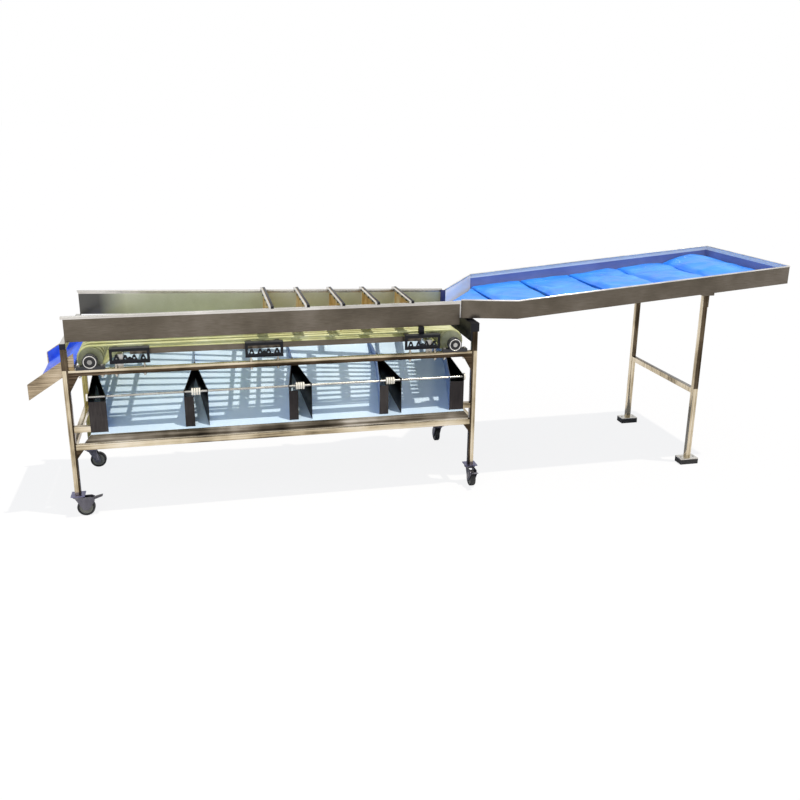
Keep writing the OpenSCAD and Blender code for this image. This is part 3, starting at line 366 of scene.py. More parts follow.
def coated_material(name, stops, roughness, grain_mm, bump, metallic=0.0, ior=1.5):
    """A moulded, painted or plated surface: an even grain with slow patches of wear."""
    made, tree = new_material(name)
    where = add(tree, "TexCoord").outputs["Object"]
    grain = add(
        tree, "TexNoise", {"Vector": where, "Scale": 1.0 / (grain_mm * MM), "Detail": 2.0}
    )
    patches = add(
        tree,
        "TexNoise",
        {"Vector": where, "Scale": 1.0 / (WORN_PATCH * MM), "Detail": 4.0, "Roughness": 0.6},
    )
    tint = add(tree, "ValToRGB", {"Fac": patches.outputs["Fac"]}, stops)
    rough = add(
        tree,
        "MapRange",
        {
            "Value": patches.outputs["Fac"],
            "To Min": roughness + WEAR_SPREAD[0],
            "To Max": roughness + WEAR_SPREAD[1],
        },
    )
    relief = add(
        tree,
        "Bump",
        {"Height": grain.outputs["Fac"], "Strength": bump, "Distance": GRAIN_DEPTH * MM},
    )
    shader = add(
        tree,
        "BsdfPrincipled",
        {
            "Base Color": tint.outputs["Color"],
            "Metallic": metallic,
            "Roughness": rough.outputs[0],
            "IOR": ior,
            "Normal": relief.outputs[0],
        },
    )
    add(tree, "OutputMaterial", {"Surface": shader.outputs[0]})
    return made


def spread(spots, *codes):
    """Colour stops: one hex colour at each spot of a ramp."""
    return list(zip(spots, codes))


ALONG_X, ALONG_Y, ALONG_Z = 0, 1, 2
EVEN = (0.3, 0.5, 0.7)
DARK = (0.3, 0.6, 0.75)
BANDED = (0.36, 0.46, 0.56, 0.68)
# Width of the lines or grain that each kind of surface is drawn with
TUBE_LINES = 7.0
APRON_LINES = 9.0
TRAY_LINES = 3.0
BRUSHED_LINES = 0.9
FILM_LINES = 1.2
FINE_GRAIN = 0.9
MOULDED_GRAIN = 1.0
COAT_GRAIN = 1.2
PLATED_GRAIN = 1.5
CAST_GRAIN = 1.6

# Square tube of 304 steel, polished lengthwise: warm glossy bands that run with the tube, painted
# reflections in its colour
TUBE_STOPS = spread((0.36, 0.44, 0.54, 0.66), "#4A4030", "#A5977B", "#CFC2A6", "#E6DDCB")
tube_x = steel_material("polished_tube_304_x", TUBE_STOPS, ALONG_X, 0.2, TUBE_LINES)
tube_y = steel_material("polished_tube_304_y", TUBE_STOPS, ALONG_Y, 0.2, TUBE_LINES)
tube_z = steel_material("polished_tube_304_z", TUBE_STOPS, ALONG_Z, 0.2, TUBE_LINES)
# Painted shade: the same tube where little light falls on it, brown, with few bright lines
tube_shade = steel_material(
    "polished_tube_304_shaded",
    spread(BANDED, "#1E1811", "#3A3024", "#5C4E3E", "#8A7B66"),
    ALONG_X,
    0.22,
    TUBE_LINES,
)
# Painted shade for the tube's sides, with its lines running upright
tube_side_shade = steel_material(
    "polished_tube_304_side_shade",
    spread(BANDED, "#1E1911", "#3D3428", "#5C5040", "#86785F"),
    ALONG_Z,
    0.22,
    TUBE_LINES,
)
# The same tube behind the belts, with their green painted on as a reflection
tube_painted_green = steel_material(
    "polished_tube_304_painted_green",
    spread(BANDED, "#4A4428", "#8C8350", "#B3AA74", "#CFC79A"),
    ALONG_Z,
    0.22,
    TUBE_LINES,
)
# Folded 304 tray, polished: soft wide streaks in a warm grey, painted reflections
tray_outside = steel_material(
    "polished_tray_304",
    spread((0.34, 0.46, 0.56, 0.68), "#5E5241", "#9A8A71", "#BBAB91", "#D8CCB6"),
    ALONG_X,
    0.26,
    TRAY_LINES,
)
# Brushed 304 sheet: an even satin grey brown, darkened as a painted dark reflection, with fine
# lines along the machine
sheet_x = steel_material(
    "brushed_sheet_304",
    spread((0.3, 0.5, 0.66), "#4C463D", "#625B50", "#797268"),
    ALONG_X,
    0.32,
    BRUSHED_LINES,
)
# Polished apron under the chutes: dark and bright bands, painted reflections like those of a mirror
# that isn't quite flat
apron_steel = steel_material(
    "polished_apron_304",
    spread((0.34, 0.45, 0.55, 0.68), "#171410", "#4E473B", "#80786A", "#C8C1B4"),
    ALONG_X,
    0.22,
    APRON_LINES,
)
# Bright annealed chute sheet: milky pale blue, the sky's light painted into its colour, nearly
# without lines
chute_sheet = steel_material(
    "bright_annealed_chute_304",
    spread(EVEN, "#CBE6FC", "#D4ECFF", "#E0F2FF"),
    ALONG_Y,
    0.3,
    BRUSHED_LINES,
    bump=0.02,
    metallic=0.15,
)
# Divider sheet with painted shade: nearly black outside, and a clear painted blue shade towards the
# chutes
divider_painted_shade = steel_material(
    "shaded_divider_304",
    spread(EVEN, "#1E1C1C", "#343131", "#524E4B"),
    ALONG_Z,
    0.3,
    BRUSHED_LINES,
)
divider_blue_shade = steel_material(
    "blue_shaded_divider_304",
    spread(EVEN, "#4A67A2", "#6382BC", "#7F9CCE"),
    ALONG_Z,
    0.35,
    BRUSHED_LINES,
    metallic=0.45,
)
# Inside of the rear wall: pale, with the belts' green painted on as a reflection, and painted shade
# at its left end
wall_inside = steel_material(
    "brushed_sheet_304_inside",
    spread(EVEN, "#B4B698", "#CDCFB4", "#E2E3D4"),
    ALONG_X,
    0.34,
    BRUSHED_LINES,
    metallic=0.35,
    shaded_end=(place(SHADED_LEFT_END[0], 0.0, 0.0).x, place(SHADED_LEFT_END[1], 0.0, 0.0).x, "#55544F"),
)
# Painted highlight: the bright neutral line that folded rims catch along their bend; the same
# bright steel serves clamps and feet
rim_steel = steel_material(
    "bright_folded_rim_304",
    spread(EVEN, "#A9A69E", "#C8C5BE", "#E2E0DA"),
    ALONG_X,
    0.25,
    BRUSHED_LINES,
)
# Protective film left on sheet: a dull satin skin with the pads' blue painted in as a reflection; a
# near white copy is painted light, a navy copy painted shade
film_blue = steel_material(
    "blue_film_on_sheet",
    spread(EVEN, "#656C9A", "#7B82AE", "#969CC2"),
    ALONG_X,
    0.42,
    FILM_LINES,
    bump=0.05,
    metallic=0.4,
)
# The film painted as lit: near white
film_painted_lit = steel_material(
    "film_on_sheet_painted_lit",
    spread(EVEN, "#EEEAE0", "#F6F2E9", "#FBF9F3"),
    ALONG_X,
    0.42,
    FILM_LINES,
    bump=0.05,
    metallic=0.1,
)
# The film painted as shade: navy
film_painted_shade = steel_material(
    "film_on_sheet_painted_shade",
    spread(EVEN, "#2E3560", "#3B4478", "#4E5890"),
    ALONG_Z,
    0.42,
    FILM_LINES,
    bump=0.05,
    metallic=0.4,
)
# Baked powder coat: a soft black with a fine orange peel and weak highlights
black_coat = coated_material(
    "black_powder_coat",
    spread(DARK, "#0B0C10", "#15161C", "#22242B"),
    0.42,
    COAT_GRAIN,
    0.25,
    ior=1.3,
)
# Zinc plate: a bright, slightly cloudy grey; blue passivated it turns violet grey
zinc = coated_material(
    "zinc_plated_bolt",
    spread(EVEN, "#8E8A80", "#B5B1A6", "#CFCBC0"),
    0.32,
    PLATED_GRAIN,
    0.15,
    metallic=1.0,
)
blue_zinc = coated_material(
    "blue_passivated_zinc",
    spread(EVEN, "#4C4C68", "#6C6C8C", "#9A9AB4"),
    0.32,
    PLATED_GRAIN,
    0.15,
    metallic=0.9,
)
# Pressed caster forks, plated dark: cool grey with blurred highlights
caster_steel = coated_material(
    "dark_plated_caster",
    spread(EVEN, "#46454B", "#66656D", "#929198"),
    0.34,
    PLATED_GRAIN,
    0.2,
    metallic=0.9,
)
# Moulded rubber: matt black that dust greys in patches
rubber = coated_material(
    "black_rubber_tread", spread(DARK, "#111112", "#1E1E1F", "#333230"), 0.6, MOULDED_GRAIN, 0.4
)
# Moulded nylon: a half matt, slightly waxy grey, or cream where it is undyed
hub_plastic = coated_material(
    "grey_nylon_hub", spread(EVEN, "#4E4F48", "#66675E", "#85867B"), 0.45, MOULDED_GRAIN, 0.2
)
ring_nylon = coated_material(
    "natural_nylon_ring", spread(EVEN, "#D2CCB8", "#E8E3D2", "#F4F1E6"), 0.4, FINE_GRAIN, 0.15
)
# Extruded polyurethane cord: pale green, smooth, with a long soft highlight
rope = coated_material(
    "green_polyurethane_belt", spread(EVEN, "#BABD7E", "#D3D698", "#E7EABE"), 0.36, FINE_GRAIN, 0.15
)
# Turned nylon: a dull olive with a faint even grain
drum_nylon = coated_material(
    "turned_nylon_drum", spread(EVEN, "#7E805C", "#9A9C76", "#B9BB9C"), 0.42, FINE_GRAIN, 0.2
)
# Canvas coated with vinyl: a strong even blue with wet looking highlights on its folds, and lighter
# patches painted in as sheen
pad_cloth = coated_material(
    "azure_coated_canvas",
    spread((0.34, 0.48, 0.58, 0.72), "#1A86FA", "#2092FF", "#2C9AFF", "#45A8FF"),
    0.34,
    FINE_GRAIN,
    0.25,
)
deep_cloth = coated_material(
    "deep_blue_coated_canvas", spread(EVEN, "#0E3FC0", "#1650DC", "#2E6CF0"), 0.45, FINE_GRAIN, 0.3
)
# Latex sheet: amber, a little uneven, with a soft sheen
strip_latex = coated_material(
    "amber_latex_strip", spread(EVEN, "#AE7F34", "#DBB160", "#F2DDA6"), 0.5, FINE_GRAIN, 0.2
)
# Sand cast iron under paint: near black, pebbled
cast_iron = coated_material(
    "painted_cast_housing", spread(DARK, "#17181B", "#242529", "#38393D"), 0.4, CAST_GRAIN, 0.35
)
# Moulded nitrile seal: flat black
bearing_seal = coated_material(
    "nitrile_bearing_seal", spread(DARK, "#0D0D0F", "#17171A", "#242428"), 0.5, MOULDED_GRAIN, 0.2
)
# Ground shaft: clean neutral grey with a tight highlight; machined and left bright it is paler
ground_steel = coated_material(
    "ground_shaft_steel",
    spread(EVEN, "#7F7E7A", "#A3A29D", "#C6C5C0"),
    0.26,
    FINE_GRAIN,
    0.08,
    metallic=1.0,
)
chrome_steel = coated_material(
    "machined_bright_steel",
    spread(EVEN, "#C4C2BC", "#DAD8D3", "#ECEBE7"),
    0.18,
    FINE_GRAIN,
    0.06,
    metallic=1.0,
)
# Sprayed enamel over a cast motor: blue grey, a little pebbled
motor_paint = coated_material(
    "grey_motor_enamel", spread(EVEN, "#3D444B", "#4D555D", "#626A72"), 0.42, CAST_GRAIN, 0.3
)

# CAD nodes that show as they are, under these finishes
FINISHES = {
    tube_x: ["chute_brackets"],
    # The gussets take the tube's painted shade
    tube_shade: ["frame_gussets"],
    sheet_x: ["comb_flats"],
    rim_steel: ["spreader_clamps"],
    ground_steel: ["divider_rod", "return_guides", "motor_sprocket", "drive_chain"],
    zinc: ["rail_bolts"],
    blue_zinc: ["caster_plates"],
    rubber: ["stand_pads"],
    ring_nylon: ["rod_rings"],
    bearing_seal: ["bearing_inserts", "spreader_bolts"],
    motor_paint: ["drive_motor"],
}


def paint(obj, finish):
    obj.data.materials.clear()
    obj.data.materials.append(finish)


def paint_nodes():
    for finish, names in FINISHES.items():
        for name in names:
            paint(NODES[name], finish)


def deselect():
    if bpy.context.mode != "OBJECT":
        bpy.ops.object.mode_set(mode="OBJECT")
    bpy.ops.object.select_all(action="DESELECT")


def take_up(obj):
    """Makes obj the only selected and active object."""
    deselect()
    obj.select_set(True)
    bpy.context.view_layer.objects.active = obj


def edit_all(obj):
    """Opens obj in edit mode with everything selected."""
    take_up(obj)
    bpy.ops.object.mode_set(mode="EDIT")
    bpy.ops.mesh.select_all(action="SELECT")


def edit_done():
    bpy.ops.object.mode_set(mode="OBJECT")


def apply_modifiers(obj):
    take_up(obj)
    for modifier in list(obj.modifiers):
        bpy.ops.object.modifier_apply(modifier=modifier.name)


def smooth(degrees):
    """Shades the active object's faces as one where they meet at less than this angle."""
    bpy.ops.object.shade_smooth_by_angle(angle=math.radians(degrees))


def mesh_copy(name, node):
    """A merged copy of a CAD node's mesh as a new object."""
    made = put(name, NODES[node].data.copy())
    edit_all(made)
    bpy.ops.mesh.remove_doubles(threshold=MERGE * MM)
    bpy.ops.mesh.customdata_custom_splitnormals_clear()
    edit_done()
    return made


def round_edges(obj, width_mm, segments):
    """Adds a bevel on the sharp edges."""
    edge = obj.modifiers.new("edge", "BEVEL")
    edge.width = width_mm * MM
    edge.segments = segments
    edge.limit_method = "ANGLE"
    edge.angle_limit = math.radians(SHARP_EDGE)


def rounded_copy(node, finish, width_mm, segments=EDGE_SEGMENTS):
    """Stands for a CAD node with its sheared and folded edges rounded, as the real ones are."""
    made = mesh_copy(node + "_rounded", node)
    edit_all(made)
    bpy.ops.mesh.dissolve_limited(angle_limit=math.radians(FLAT_ANGLE))
    edit_done()
    round_edges(made, width_mm, segments)
    apply_modifiers(made)
    smooth(SMOOTH_SHEET)
    paint(made, finish)
    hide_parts(node)
    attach(made, NODES[node]["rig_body"])
    return made


def turned_copy(node, finish):
    """Stands for a CAD node that was turned: smooth around, sharp at its shoulders."""
    made = mesh_copy(node + "_turned", node)
    smooth(SMOOTH_TURNED)
    paint(made, finish)
    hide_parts(node)
    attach(made, node)
    return made


def swept_wire(name, spots, radius_mm, closed):
    """A round cord or wire through the spots, as a mesh; an open one has its ends capped."""
    wire = bpy.data.curves.new(name, "CURVE")
    wire.dimensions = "3D"
    wire.bevel_depth = radius_mm * MM
    wire.bevel_resolution = WIRE_STEPS
    wire.use_fill_caps = not closed
    line = wire.splines.new("POLY")
    line.use_cyclic_u = closed
    line.points.add(len(spots) - 1)
    for point, spot in zip(line.points, spots):
        point.co = (*place(*spot), 1.0)
    take_up(put(name, wire))
    bpy.ops.object.convert(target="MESH")
    return bpy.context.active_object


def score(obj, spot, across):
    """Adds an edge wherever the plane through spot, square to across, meets obj's faces."""
    edit_all(obj)
    bpy.ops.mesh.bisect(plane_co=spot, plane_no=across)
    edit_done()


def finish_faces(obj, finish, chosen):
    """Gives the faces that chosen(centre, normal) picks another finish."""
    obj.data.materials.append(finish)
    slot = len(obj.data.materials) - 1
    for face in obj.data.polygons:
        if chosen(face.center, face.normal):
            face.material_index = slot


def make_frame():
    """Welded tubes, some faces with painted shade or painted reflection. Negative X is the left end
    here, and negative Y the front.
    """
    stand = rounded_copy("stand_frame", tube_z, TUBE_CORNER, TUBE_SEGMENTS)
    legs = rounded_copy("frame_legs", tube_z, TUBE_CORNER, TUBE_SEGMENTS)
    rail_top = place(0.0, 0.0, UPPER_RAIL[1])
    left_strip = place(TUBE - LEG_STRIP, 0.0, 0.0)
    right_strip = place(FRAME_LENGTH - TUBE + LEG_STRIP, 0.0, 0.0)
    score(legs, rail_top, UP)
    for strip in (left_strip, right_strip):
        score(legs, strip, ENDWISE)

    # Painted shade on the legs' fronts above the upper rail and along their inner edges
    def shaded_front(c, n):
        inner_edge = left_strip.x < c.x < right_strip.x
        return c.y < 0.0 and n.y < -FACES and (c.z > rail_top.z or inner_edge)

    # Painted green reflection on the rear left leg's front; painted shade on the legs' sides
    finish_faces(legs, tube_painted_green, lambda c, n: c.y > 0.0 and c.x < 0.0 and n.y < -FACES)
    finish_faces(legs, tube_side_shade, lambda c, n: abs(n.x) > SIDE_ON)
    finish_faces(legs, tube_side_shade, shaded_front)

    bar_low = place(0.0, 0.0, STAND_BAR)
    bar_top = place(0.0, 0.0, STAND_BAR + TUBE)
    score(stand, bar_top, UP)

    # Painted shade on the stand's right and upward faces and on its fronts above the bar; the bar's
    # left faces take the lit tube again
    def stand_shade(c, n):
        return (c.z > bar_top.z and n.y < -FACES) or n.x > SIDE_ON or n.z > SIDE_ON

    finish_faces(stand, tube_side_shade, stand_shade)
    finish_faces(stand, tube_y, lambda c, n: bar_low.z < c.z < bar_top.z and n.x < -SIDE_ON)

    rounded_copy("lower_rails", tube_x, TUBE_CORNER, TUBE_SEGMENTS)
    rails = rounded_copy("upper_rails", tube_x, TUBE_CORNER, TUBE_SEGMENTS)
    shade_top = place(0.0, 0.0, UPPER_RAIL[0] + RAIL_SHADE * TUBE)
    score(rails, shade_top, UP)
    # Painted shade on the rails' lower fronts and undersides
    finish_faces(
        rails, tube_shade, lambda c, n: c.z < shade_top.z and (n.y < -FACES or n.z < -FACES)
    )
    rounded_copy("lower_crossbars", tube_y, TUBE_CORNER, TUBE_SEGMENTS)
    bars = rounded_copy("top_crossbars", black_coat, TUBE_CORNER, TUBE_SEGMENTS)
    finish_faces(bars, rim_steel, lambda c, n: c.x < 0.0 and n.y > -FLAT_ON)


def make_trough():
    front = rounded_copy("side_wall_front", sheet_x, FOLDED_EDGE)
    rear = rounded_copy("side_wall_rear", sheet_x, FOLDED_EDGE)
    flange = place(0.0, 0.0, WALL_TOP - WALL_FLANGE)
    score(rear, flange, UP)
    # Painted reflection and painted shade on the rear wall's inside
    finish_faces(rear, wall_inside, lambda c, n: n.y < -FACES)
    # Painted highlight along the top flange of both walls
    for wall in (front, rear):
        finish_faces(wall, rim_steel, lambda c, n: c.z > flange.z)
    for node in ("support_blocks", "spreader_bars", "comb_brackets"):
        rounded_copy(node, black_coat, COATED_EDGE)
    rounded_copy("rear_brackets", sheet_x, SHEARED_EDGE)


def hang_strip(low, high, seed):
    """One strip of a curtain: a thin sheet that hangs from its clamp and bows by its own set."""
    deselect()
    steps_across, steps_down = STRIP_STEPS
    bpy.ops.mesh.primitive_grid_add(
        x_subdivisions=steps_across, y_subdivisions=steps_down, size=1.0
    )
    strip = bpy.context.active_object
    width, length = high.y - low.y, high.z - low.z
    bow = (STRIP_BOW + STRIP_BOW_SPREAD * noise.noise(Vector((seed, 2.3, 0.7)))) * MM
    twist = STRIP_TWIST * MM * noise.noise(Vector((seed, 7.9, 4.1)))
    for vertex in strip.data.vertices:
        across, along = vertex.co.x, vertex.co.y + 0.5
        free = max(0.0, 1.0 - along * length / (length - CLAMP_HEIGHT * MM)) ** 2
        sway = free * (bow + twist * across * 2.0)
        cup = STRIP_CUP * MM * free * across * across
        vertex.co = (
            (low.x + high.x) / 2.0 - sway - cup,
            (low.y + high.y) / 2.0 + across * width,
            low.z + along * length,
        )
    skin = strip.modifiers.new("skin", "SOLIDIFY")
    skin.thickness = CURTAIN_SHEET * MM
    skin.offset = 0.0
    apply_modifiers(strip)
    return strip


def make_curtains():
    """Soft strips under each spreader, which slow what rolls past before it meets the belts."""
    edit_all(mesh_copy("curtain_solids", "curtain_strips"))
    bpy.ops.mesh.separate(type="LOOSE")
    edit_done()
    solids = list(bpy.context.selected_objects)
    rows = {}
    for solid in solids:
        spots = [v.co for v in solid.data.vertices]
        low = Vector(min(p[k] for p in spots) for k in range(3))
        high = Vector(max(p[k] for p in spots) for k in range(3))
        rows.setdefault(round(low.x, 3), []).append((low, high))
    for solid in solids:
        bpy.data.objects.remove(solid, do_unlink=True)
    for i, x in enumerate(sorted(rows)):
        boxes = sorted(rows[x], key=lambda box: box[0].y)
        strips = [
            hang_strip(low, high, 1.7 * i + 0.43 * k) for k, (low, high) in enumerate(boxes)
        ]
        take_up(strips[0])
        for strip in strips:
            strip.select_set(True)
        bpy.ops.object.join()
        curtain = bpy.context.active_object
        curtain.name = f"curtain_{i + 1}"
        smooth(SMOOTH_ROLLED)
        paint(curtain, strip_latex)
        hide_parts("curtain_strips")
        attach(curtain, "machine")


def make_chutes():
    floor = rounded_copy("chute_floor", apron_steel, SHEARED_EDGE)
    # The chute floor's upward faces take the painted sky blue
    finish_faces(floor, chute_sheet, lambda c, n: n.z > LEANS)
    vee_end = place(0.0, VEE_END, 0.0).y
    for node in (
        "chute_wall_left",
        "chute_divider_a",
        "chute_divider_b",
        "chute_divider_c",
        "chute_wall_right",
    ):
        wall = rounded_copy(node, divider_painted_shade, SHEARED_EDGE)
        low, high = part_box(node)
        middle = (low.x + high.x) / 2.0

        # Painted shade: blue on side faces that face a chute or lie behind the folded ends, near
        # black elsewhere
        def towards_chute(c, n):
            return abs(n.x) > FLAT_ON and (c.y > vee_end or n.x * (c.x - middle) > 0.0)

        finish_faces(wall, divider_blue_shade, towards_chute)


def neck_lip(name, y, finish):
    """A folded lip on the open end of the neck's side, lapping the trough wall from inside."""
    low, high = TRAY_Z + SHEET, TRAY_Z + TRAY_SIDE - SHEET
    deselect()
    bpy.ops.mesh.primitive_cube_add(size=1.0)
    lip = bpy.context.active_object
    lip.name = name
    edit_all(lip)
    bpy.ops.transform.resize(value=(LIP_REACH * MM, SHEET * MM, (high - low) * MM))
    bpy.ops.transform.translate(value=place(NECK[0] - LIP_REACH / 2.0, y, (low + high) / 2.0))
    bpy.ops.mesh.bisect(
        plane_co=place(NECK[0] - LIP_REACH, y, low + LIP_CUT),
        plane_no=(-1.0, 0.0, -1.0),
        use_fill=True,
        clear_outer=True,
    )
    edit_done()
    round_edges(lip, SHEARED_EDGE, EDGE_SEGMENTS)
    apply_modifiers(lip)
    smooth(SMOOTH_SHEET)
    paint(lip, finish)
    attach(lip, "machine")


def make_trays():
    tray = rounded_copy("feed_tray", sheet_x, FOLDED_EDGE)
    middle = place(0.0, (TRAY_Y[0] + TRAY_Y[1]) / 2.0, 0.0).y
    tray_end = place(TRAY_X[1] - TRAY_END_BAND, 0.0, 0.0).x
    neck_end = place(TRAY_X[0] - SHEET, 0.0, 0.0).x
    neck_rear = place(0.0, NECK_REAR, 0.0).y
    slope = math.atan(TRAY_RISE)
    film_top = place(TRAY_X[0], 0.0, TRAY_Z + TRAY_SIDE - BARE_EDGE)
    score(tray, film_top, (-math.sin(slope), 0.0, math.cos(slope)))

    def film_line(c):
        return film_top.z + (c.x - film_top.x) * TRAY_RISE

    def inside(c, n):
        side = n.y * (middle - c.y) > 0.0 and abs(n.y) > LEANS
        return side or (n.x < -FACES and c.x > tray_end)

    def under_film(c, n):
        return abs(n.z) < FACES and c.z < film_line(c) and inside(c, n)

    def bare_band(c, n):
        return c.x > neck_end and c.z > film_line(c) and inside(c, n)

    def neck_inside(c, n):
        return abs(n.z) < FACES and n.y < -LEANS and c.y > neck_rear and c.x < neck_end

    # Film with painted reflection below the film line; painted light on the bare band above it and
    # on the neck's inside
    finish_faces(tray, film_blue, under_film)
    finish_faces(tray, film_painted_lit, bare_band)
    finish_faces(tray, film_painted_lit, neck_inside)

    # A wired edge: the sheet's top rolled over a wire, as one bead around the tray
    half = SHEET / 2.0
    top = TRAY_Z + TRAY_SIDE
    high = top + (TRAY_X[1] - TRAY_X[0]) * TRAY_RISE
    front, rear = TRAY_Y[0] + half, TRAY_Y[1] - half
    end = TRAY_X[1] - half
    bead = swept_wire(
        "tray_rolled_edge",
        [
            (NECK[0], NECK[1] + half, top),
            (TRAY_X[0], front, top),
            (end, front, high),
            (end, rear, high),
            (TRAY_X[0], rear, top),
            (NECK[0], NECK[2] - half, top),
        ],
        RIM_WIRE,
        closed=False,
    )
    smooth(SMOOTH_ROLLED)
    paint(bead, chrome_steel)
    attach(bead, "machine")
    # Neck lips: the front one painted as lit, the rear one painted as shade
    neck_lip("neck_lip_front", NECK[1] + half, film_painted_lit)
    neck_lip("neck_lip_rear", NECK[2] - half, film_painted_shade)
    rounded_copy("discharge_tray", tray_outside, COATED_EDGE)
    rounded_copy("stand_brackets", sheet_x, SHEARED_EDGE)
    rounded_copy("stand_feet", rim_steel, PLATE_EDGE)
    rounded_copy("chain_guard", sheet_x, SHEARED_EDGE)


def make_drums():
    """Turned nylon drums on ground shafts; behind the frame the right one carries its sprocket."""
    behind = place(0.0, FRAME_WIDTH, 0.0).y
    for node, x in (("drum_left", DRUM_X[0]), ("drum_right", DRUM_X[1])):
        drum = turned_copy(node, drum_nylon)
        axis = place(x, 0.0, AXIS_Z)

        def bare_steel(c, n):
            return math.hypot(c.x - axis.x, c.z - axis.z) < SHAFT_REACH * MM or c.y > behind

        finish_faces(drum, ground_steel, bare_steel)
    rounded_copy("bearing_housings", cast_iron, CAST_EDGE)


def make_housing_rings():
    """The bright machined lip around each bearing: one turned ring, copied to the four housings."""
    deselect()
    bpy.ops.mesh.primitive_cylinder_add(
        vertices=RING_SIDES,
        radius=RING_RADIUS * MM,
        depth=RING_DEPTH * MM,
        end_fill_type="NOTHING",
        rotation=(math.radians(90.0), 0.0, 0.0),
    )
    turned = bpy.context.active_object
    bpy.ops.object.transform_apply(location=False, rotation=True, scale=False)
    wall = turned.modifiers.new("wall", "SOLIDIFY")
    wall.thickness = RING_WALL * MM
    round_edges(turned, RING_CHAMFER, TUBE_SEGMENTS)
    apply_modifiers(turned)
    smooth(SMOOTH_SHEET)
    paint(turned, chrome_steel)
    for x, end in zip(DRUM_X, ("left", "right")):
        for y, side in ((HOUSING_Y[0] - RING_OUT, "front"), (HOUSING_Y[1] + RING_OUT, "rear")):
            ring = put(f"housing_ring_{end}_{side}", turned.data.copy())
            ring.data.transform(Matrix.Translation(place(x, y, AXIS_Z)))
            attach(ring, "machine")
    bpy.data.objects.remove(turned, do_unlink=True)


def make_casters():
    for k in ("fl", "fr", "rl", "rr"):
        rounded_copy("fork_" + k, caster_steel, FORK_EDGE)
        wheel = turned_copy("wheel_" + k, rubber)
        low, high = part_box("wheel_" + k)
        middle = (low + high) / 2.0
        finish_faces(wheel, hub_plastic, lambda c, n: (c - middle).length < HUB_RADIUS * MM)
    for k in ("fl", "fr"):
        rounded_copy("pedal_" + k, caster_steel, COATED_EDGE)


def arc(x, z, radius, start, end, steps):
    turns = [math.radians(start + (end - start) * k / steps) for k in range(steps + 1)]
    return [(x + radius * math.cos(a), z + radius * math.sin(a)) for a in turns]


def straight(start, end, z):
    """The points between the two ends of a level run."""
    return [(start + (end - start) * k / RUN_STEPS, z) for k in range(1, RUN_STEPS)]


def belt_route():
    """The loop of one belt in X and Z: over the drums, and back over the two guides."""
    left, right = DRUM_X
    guide_z = AXIS_Z + GUIDE_RISE
    guide_left, guide_right = left + GUIDE_X, right - GUIDE_X
    return (
        straight(right, left, AXIS_Z + BELT_TURN)
        + arc(left, AXIS_Z, BELT_TURN, 90.0, 270.0 + GUIDE_WRAP, DRUM_STEPS)
        + arc(guide_left, guide_z, GUIDE_TURN, 90.0 + GUIDE_WRAP, 90.0, GUIDE_STEPS)
        + straight(guide_left, guide_right, guide_z + GUIDE_TURN)
        + arc(guide_right, guide_z, GUIDE_TURN, 90.0, 90.0 - GUIDE_WRAP, GUIDE_STEPS)
        + arc(right, AXIS_Z, BELT_TURN, -90.0 - GUIDE_WRAP, 90.0, DRUM_STEPS)
    )


def make_belts():
    """Ten round belts, each an endless welded cord over both drums."""
    left, right = DRUM_X
    for i in range(BELTS):
        y_left = BELT_LEFT[0] + BELT_LEFT[1] * i
        y_right = BELT_RIGHT[0] + BELT_RIGHT[1] * i
        spots = []
        for x, z in belt_route():
            share = (min(max(x, left), right) - left) / (right - left)
            spots.append((x, y_left + (y_right - y_left) * share, z))
        belt = swept_wire(f"round_belt_{i + 1}", spots, BELT_RADIUS, closed=True)
        bpy.ops.object.shade_smooth()
        paint(belt, rope)
        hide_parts("grading_ropes")
        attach(belt, "machine")


def tray_floor(x):
    """Top of the feed tray's floor sheet at x."""
    return TRAY_Z + max(0.0, x - TRAY_X[0]) * TRAY_RISE + SHEET


def discharge_floor(x):
    """Top of the discharge tray's sheet at x."""
    edge_x, edge_z = DISCHARGE_EDGE
    return edge_z - (edge_x - x) * math.tan(math.radians(DISCHARGE_FALL)) + SHEET


def swell(pad, cap_mm):
    """Blows a pad up with Cloth, then caps how far each point went."""
    start = [v.co.copy() for v in pad.data.vertices]
    cloth = pad.modifiers.new("filling", "CLOTH")
    cloth.settings.use_pressure = True
    cloth.settings.uniform_pressure_force = PAD_PRESSURE
    cloth.settings.effector_weights.gravity = 0.0
    cloth.settings.tension_stiffness = CLOTH_STIFFNESS
    cloth.settings.compression_stiffness = CLOTH_STIFFNESS
    cloth.settings.bending_stiffness = CLOTH_BENDING
    scene = bpy.context.scene
    for step in range(1, PAD_FRAMES + 1):
        scene.frame_set(step)
    apply_modifiers(pad)
    scene.frame_set(1)
    cap = cap_mm * MM
    for vertex, was in zip(pad.data.vertices, start):
        move = vertex.co - was
        if move.length > cap:
            vertex.co = was + move.normalized() * cap


def draw_out(pad, low, high):
    """Draws a swollen pad out to its full length and width again, so that neighbours meet."""
    for k in (0, 1):
        spots = [vertex.co[k] for vertex in pad.data.vertices]
        first, span = min(spots), max(spots) - min(spots)
        for vertex in pad.data.vertices:
            vertex.co[k] = low[k] + (vertex.co[k] - first) * (high[k] - low[k]) / span


def from_edge(share, steep):
    """Rises from 0 at both edges of a pad to 1 inside it."""
    return min(1.0, steep * min(share, 1.0 - share))


def fold(run, x, y, seed):
    """Height of one kind of crease at a point."""
    (across_x, across_y), (along_x, along_y) = run
    spot = (x * across_x + y * across_y, y * along_y + x * along_x, seed)
    return noise.noise(Vector(spot))


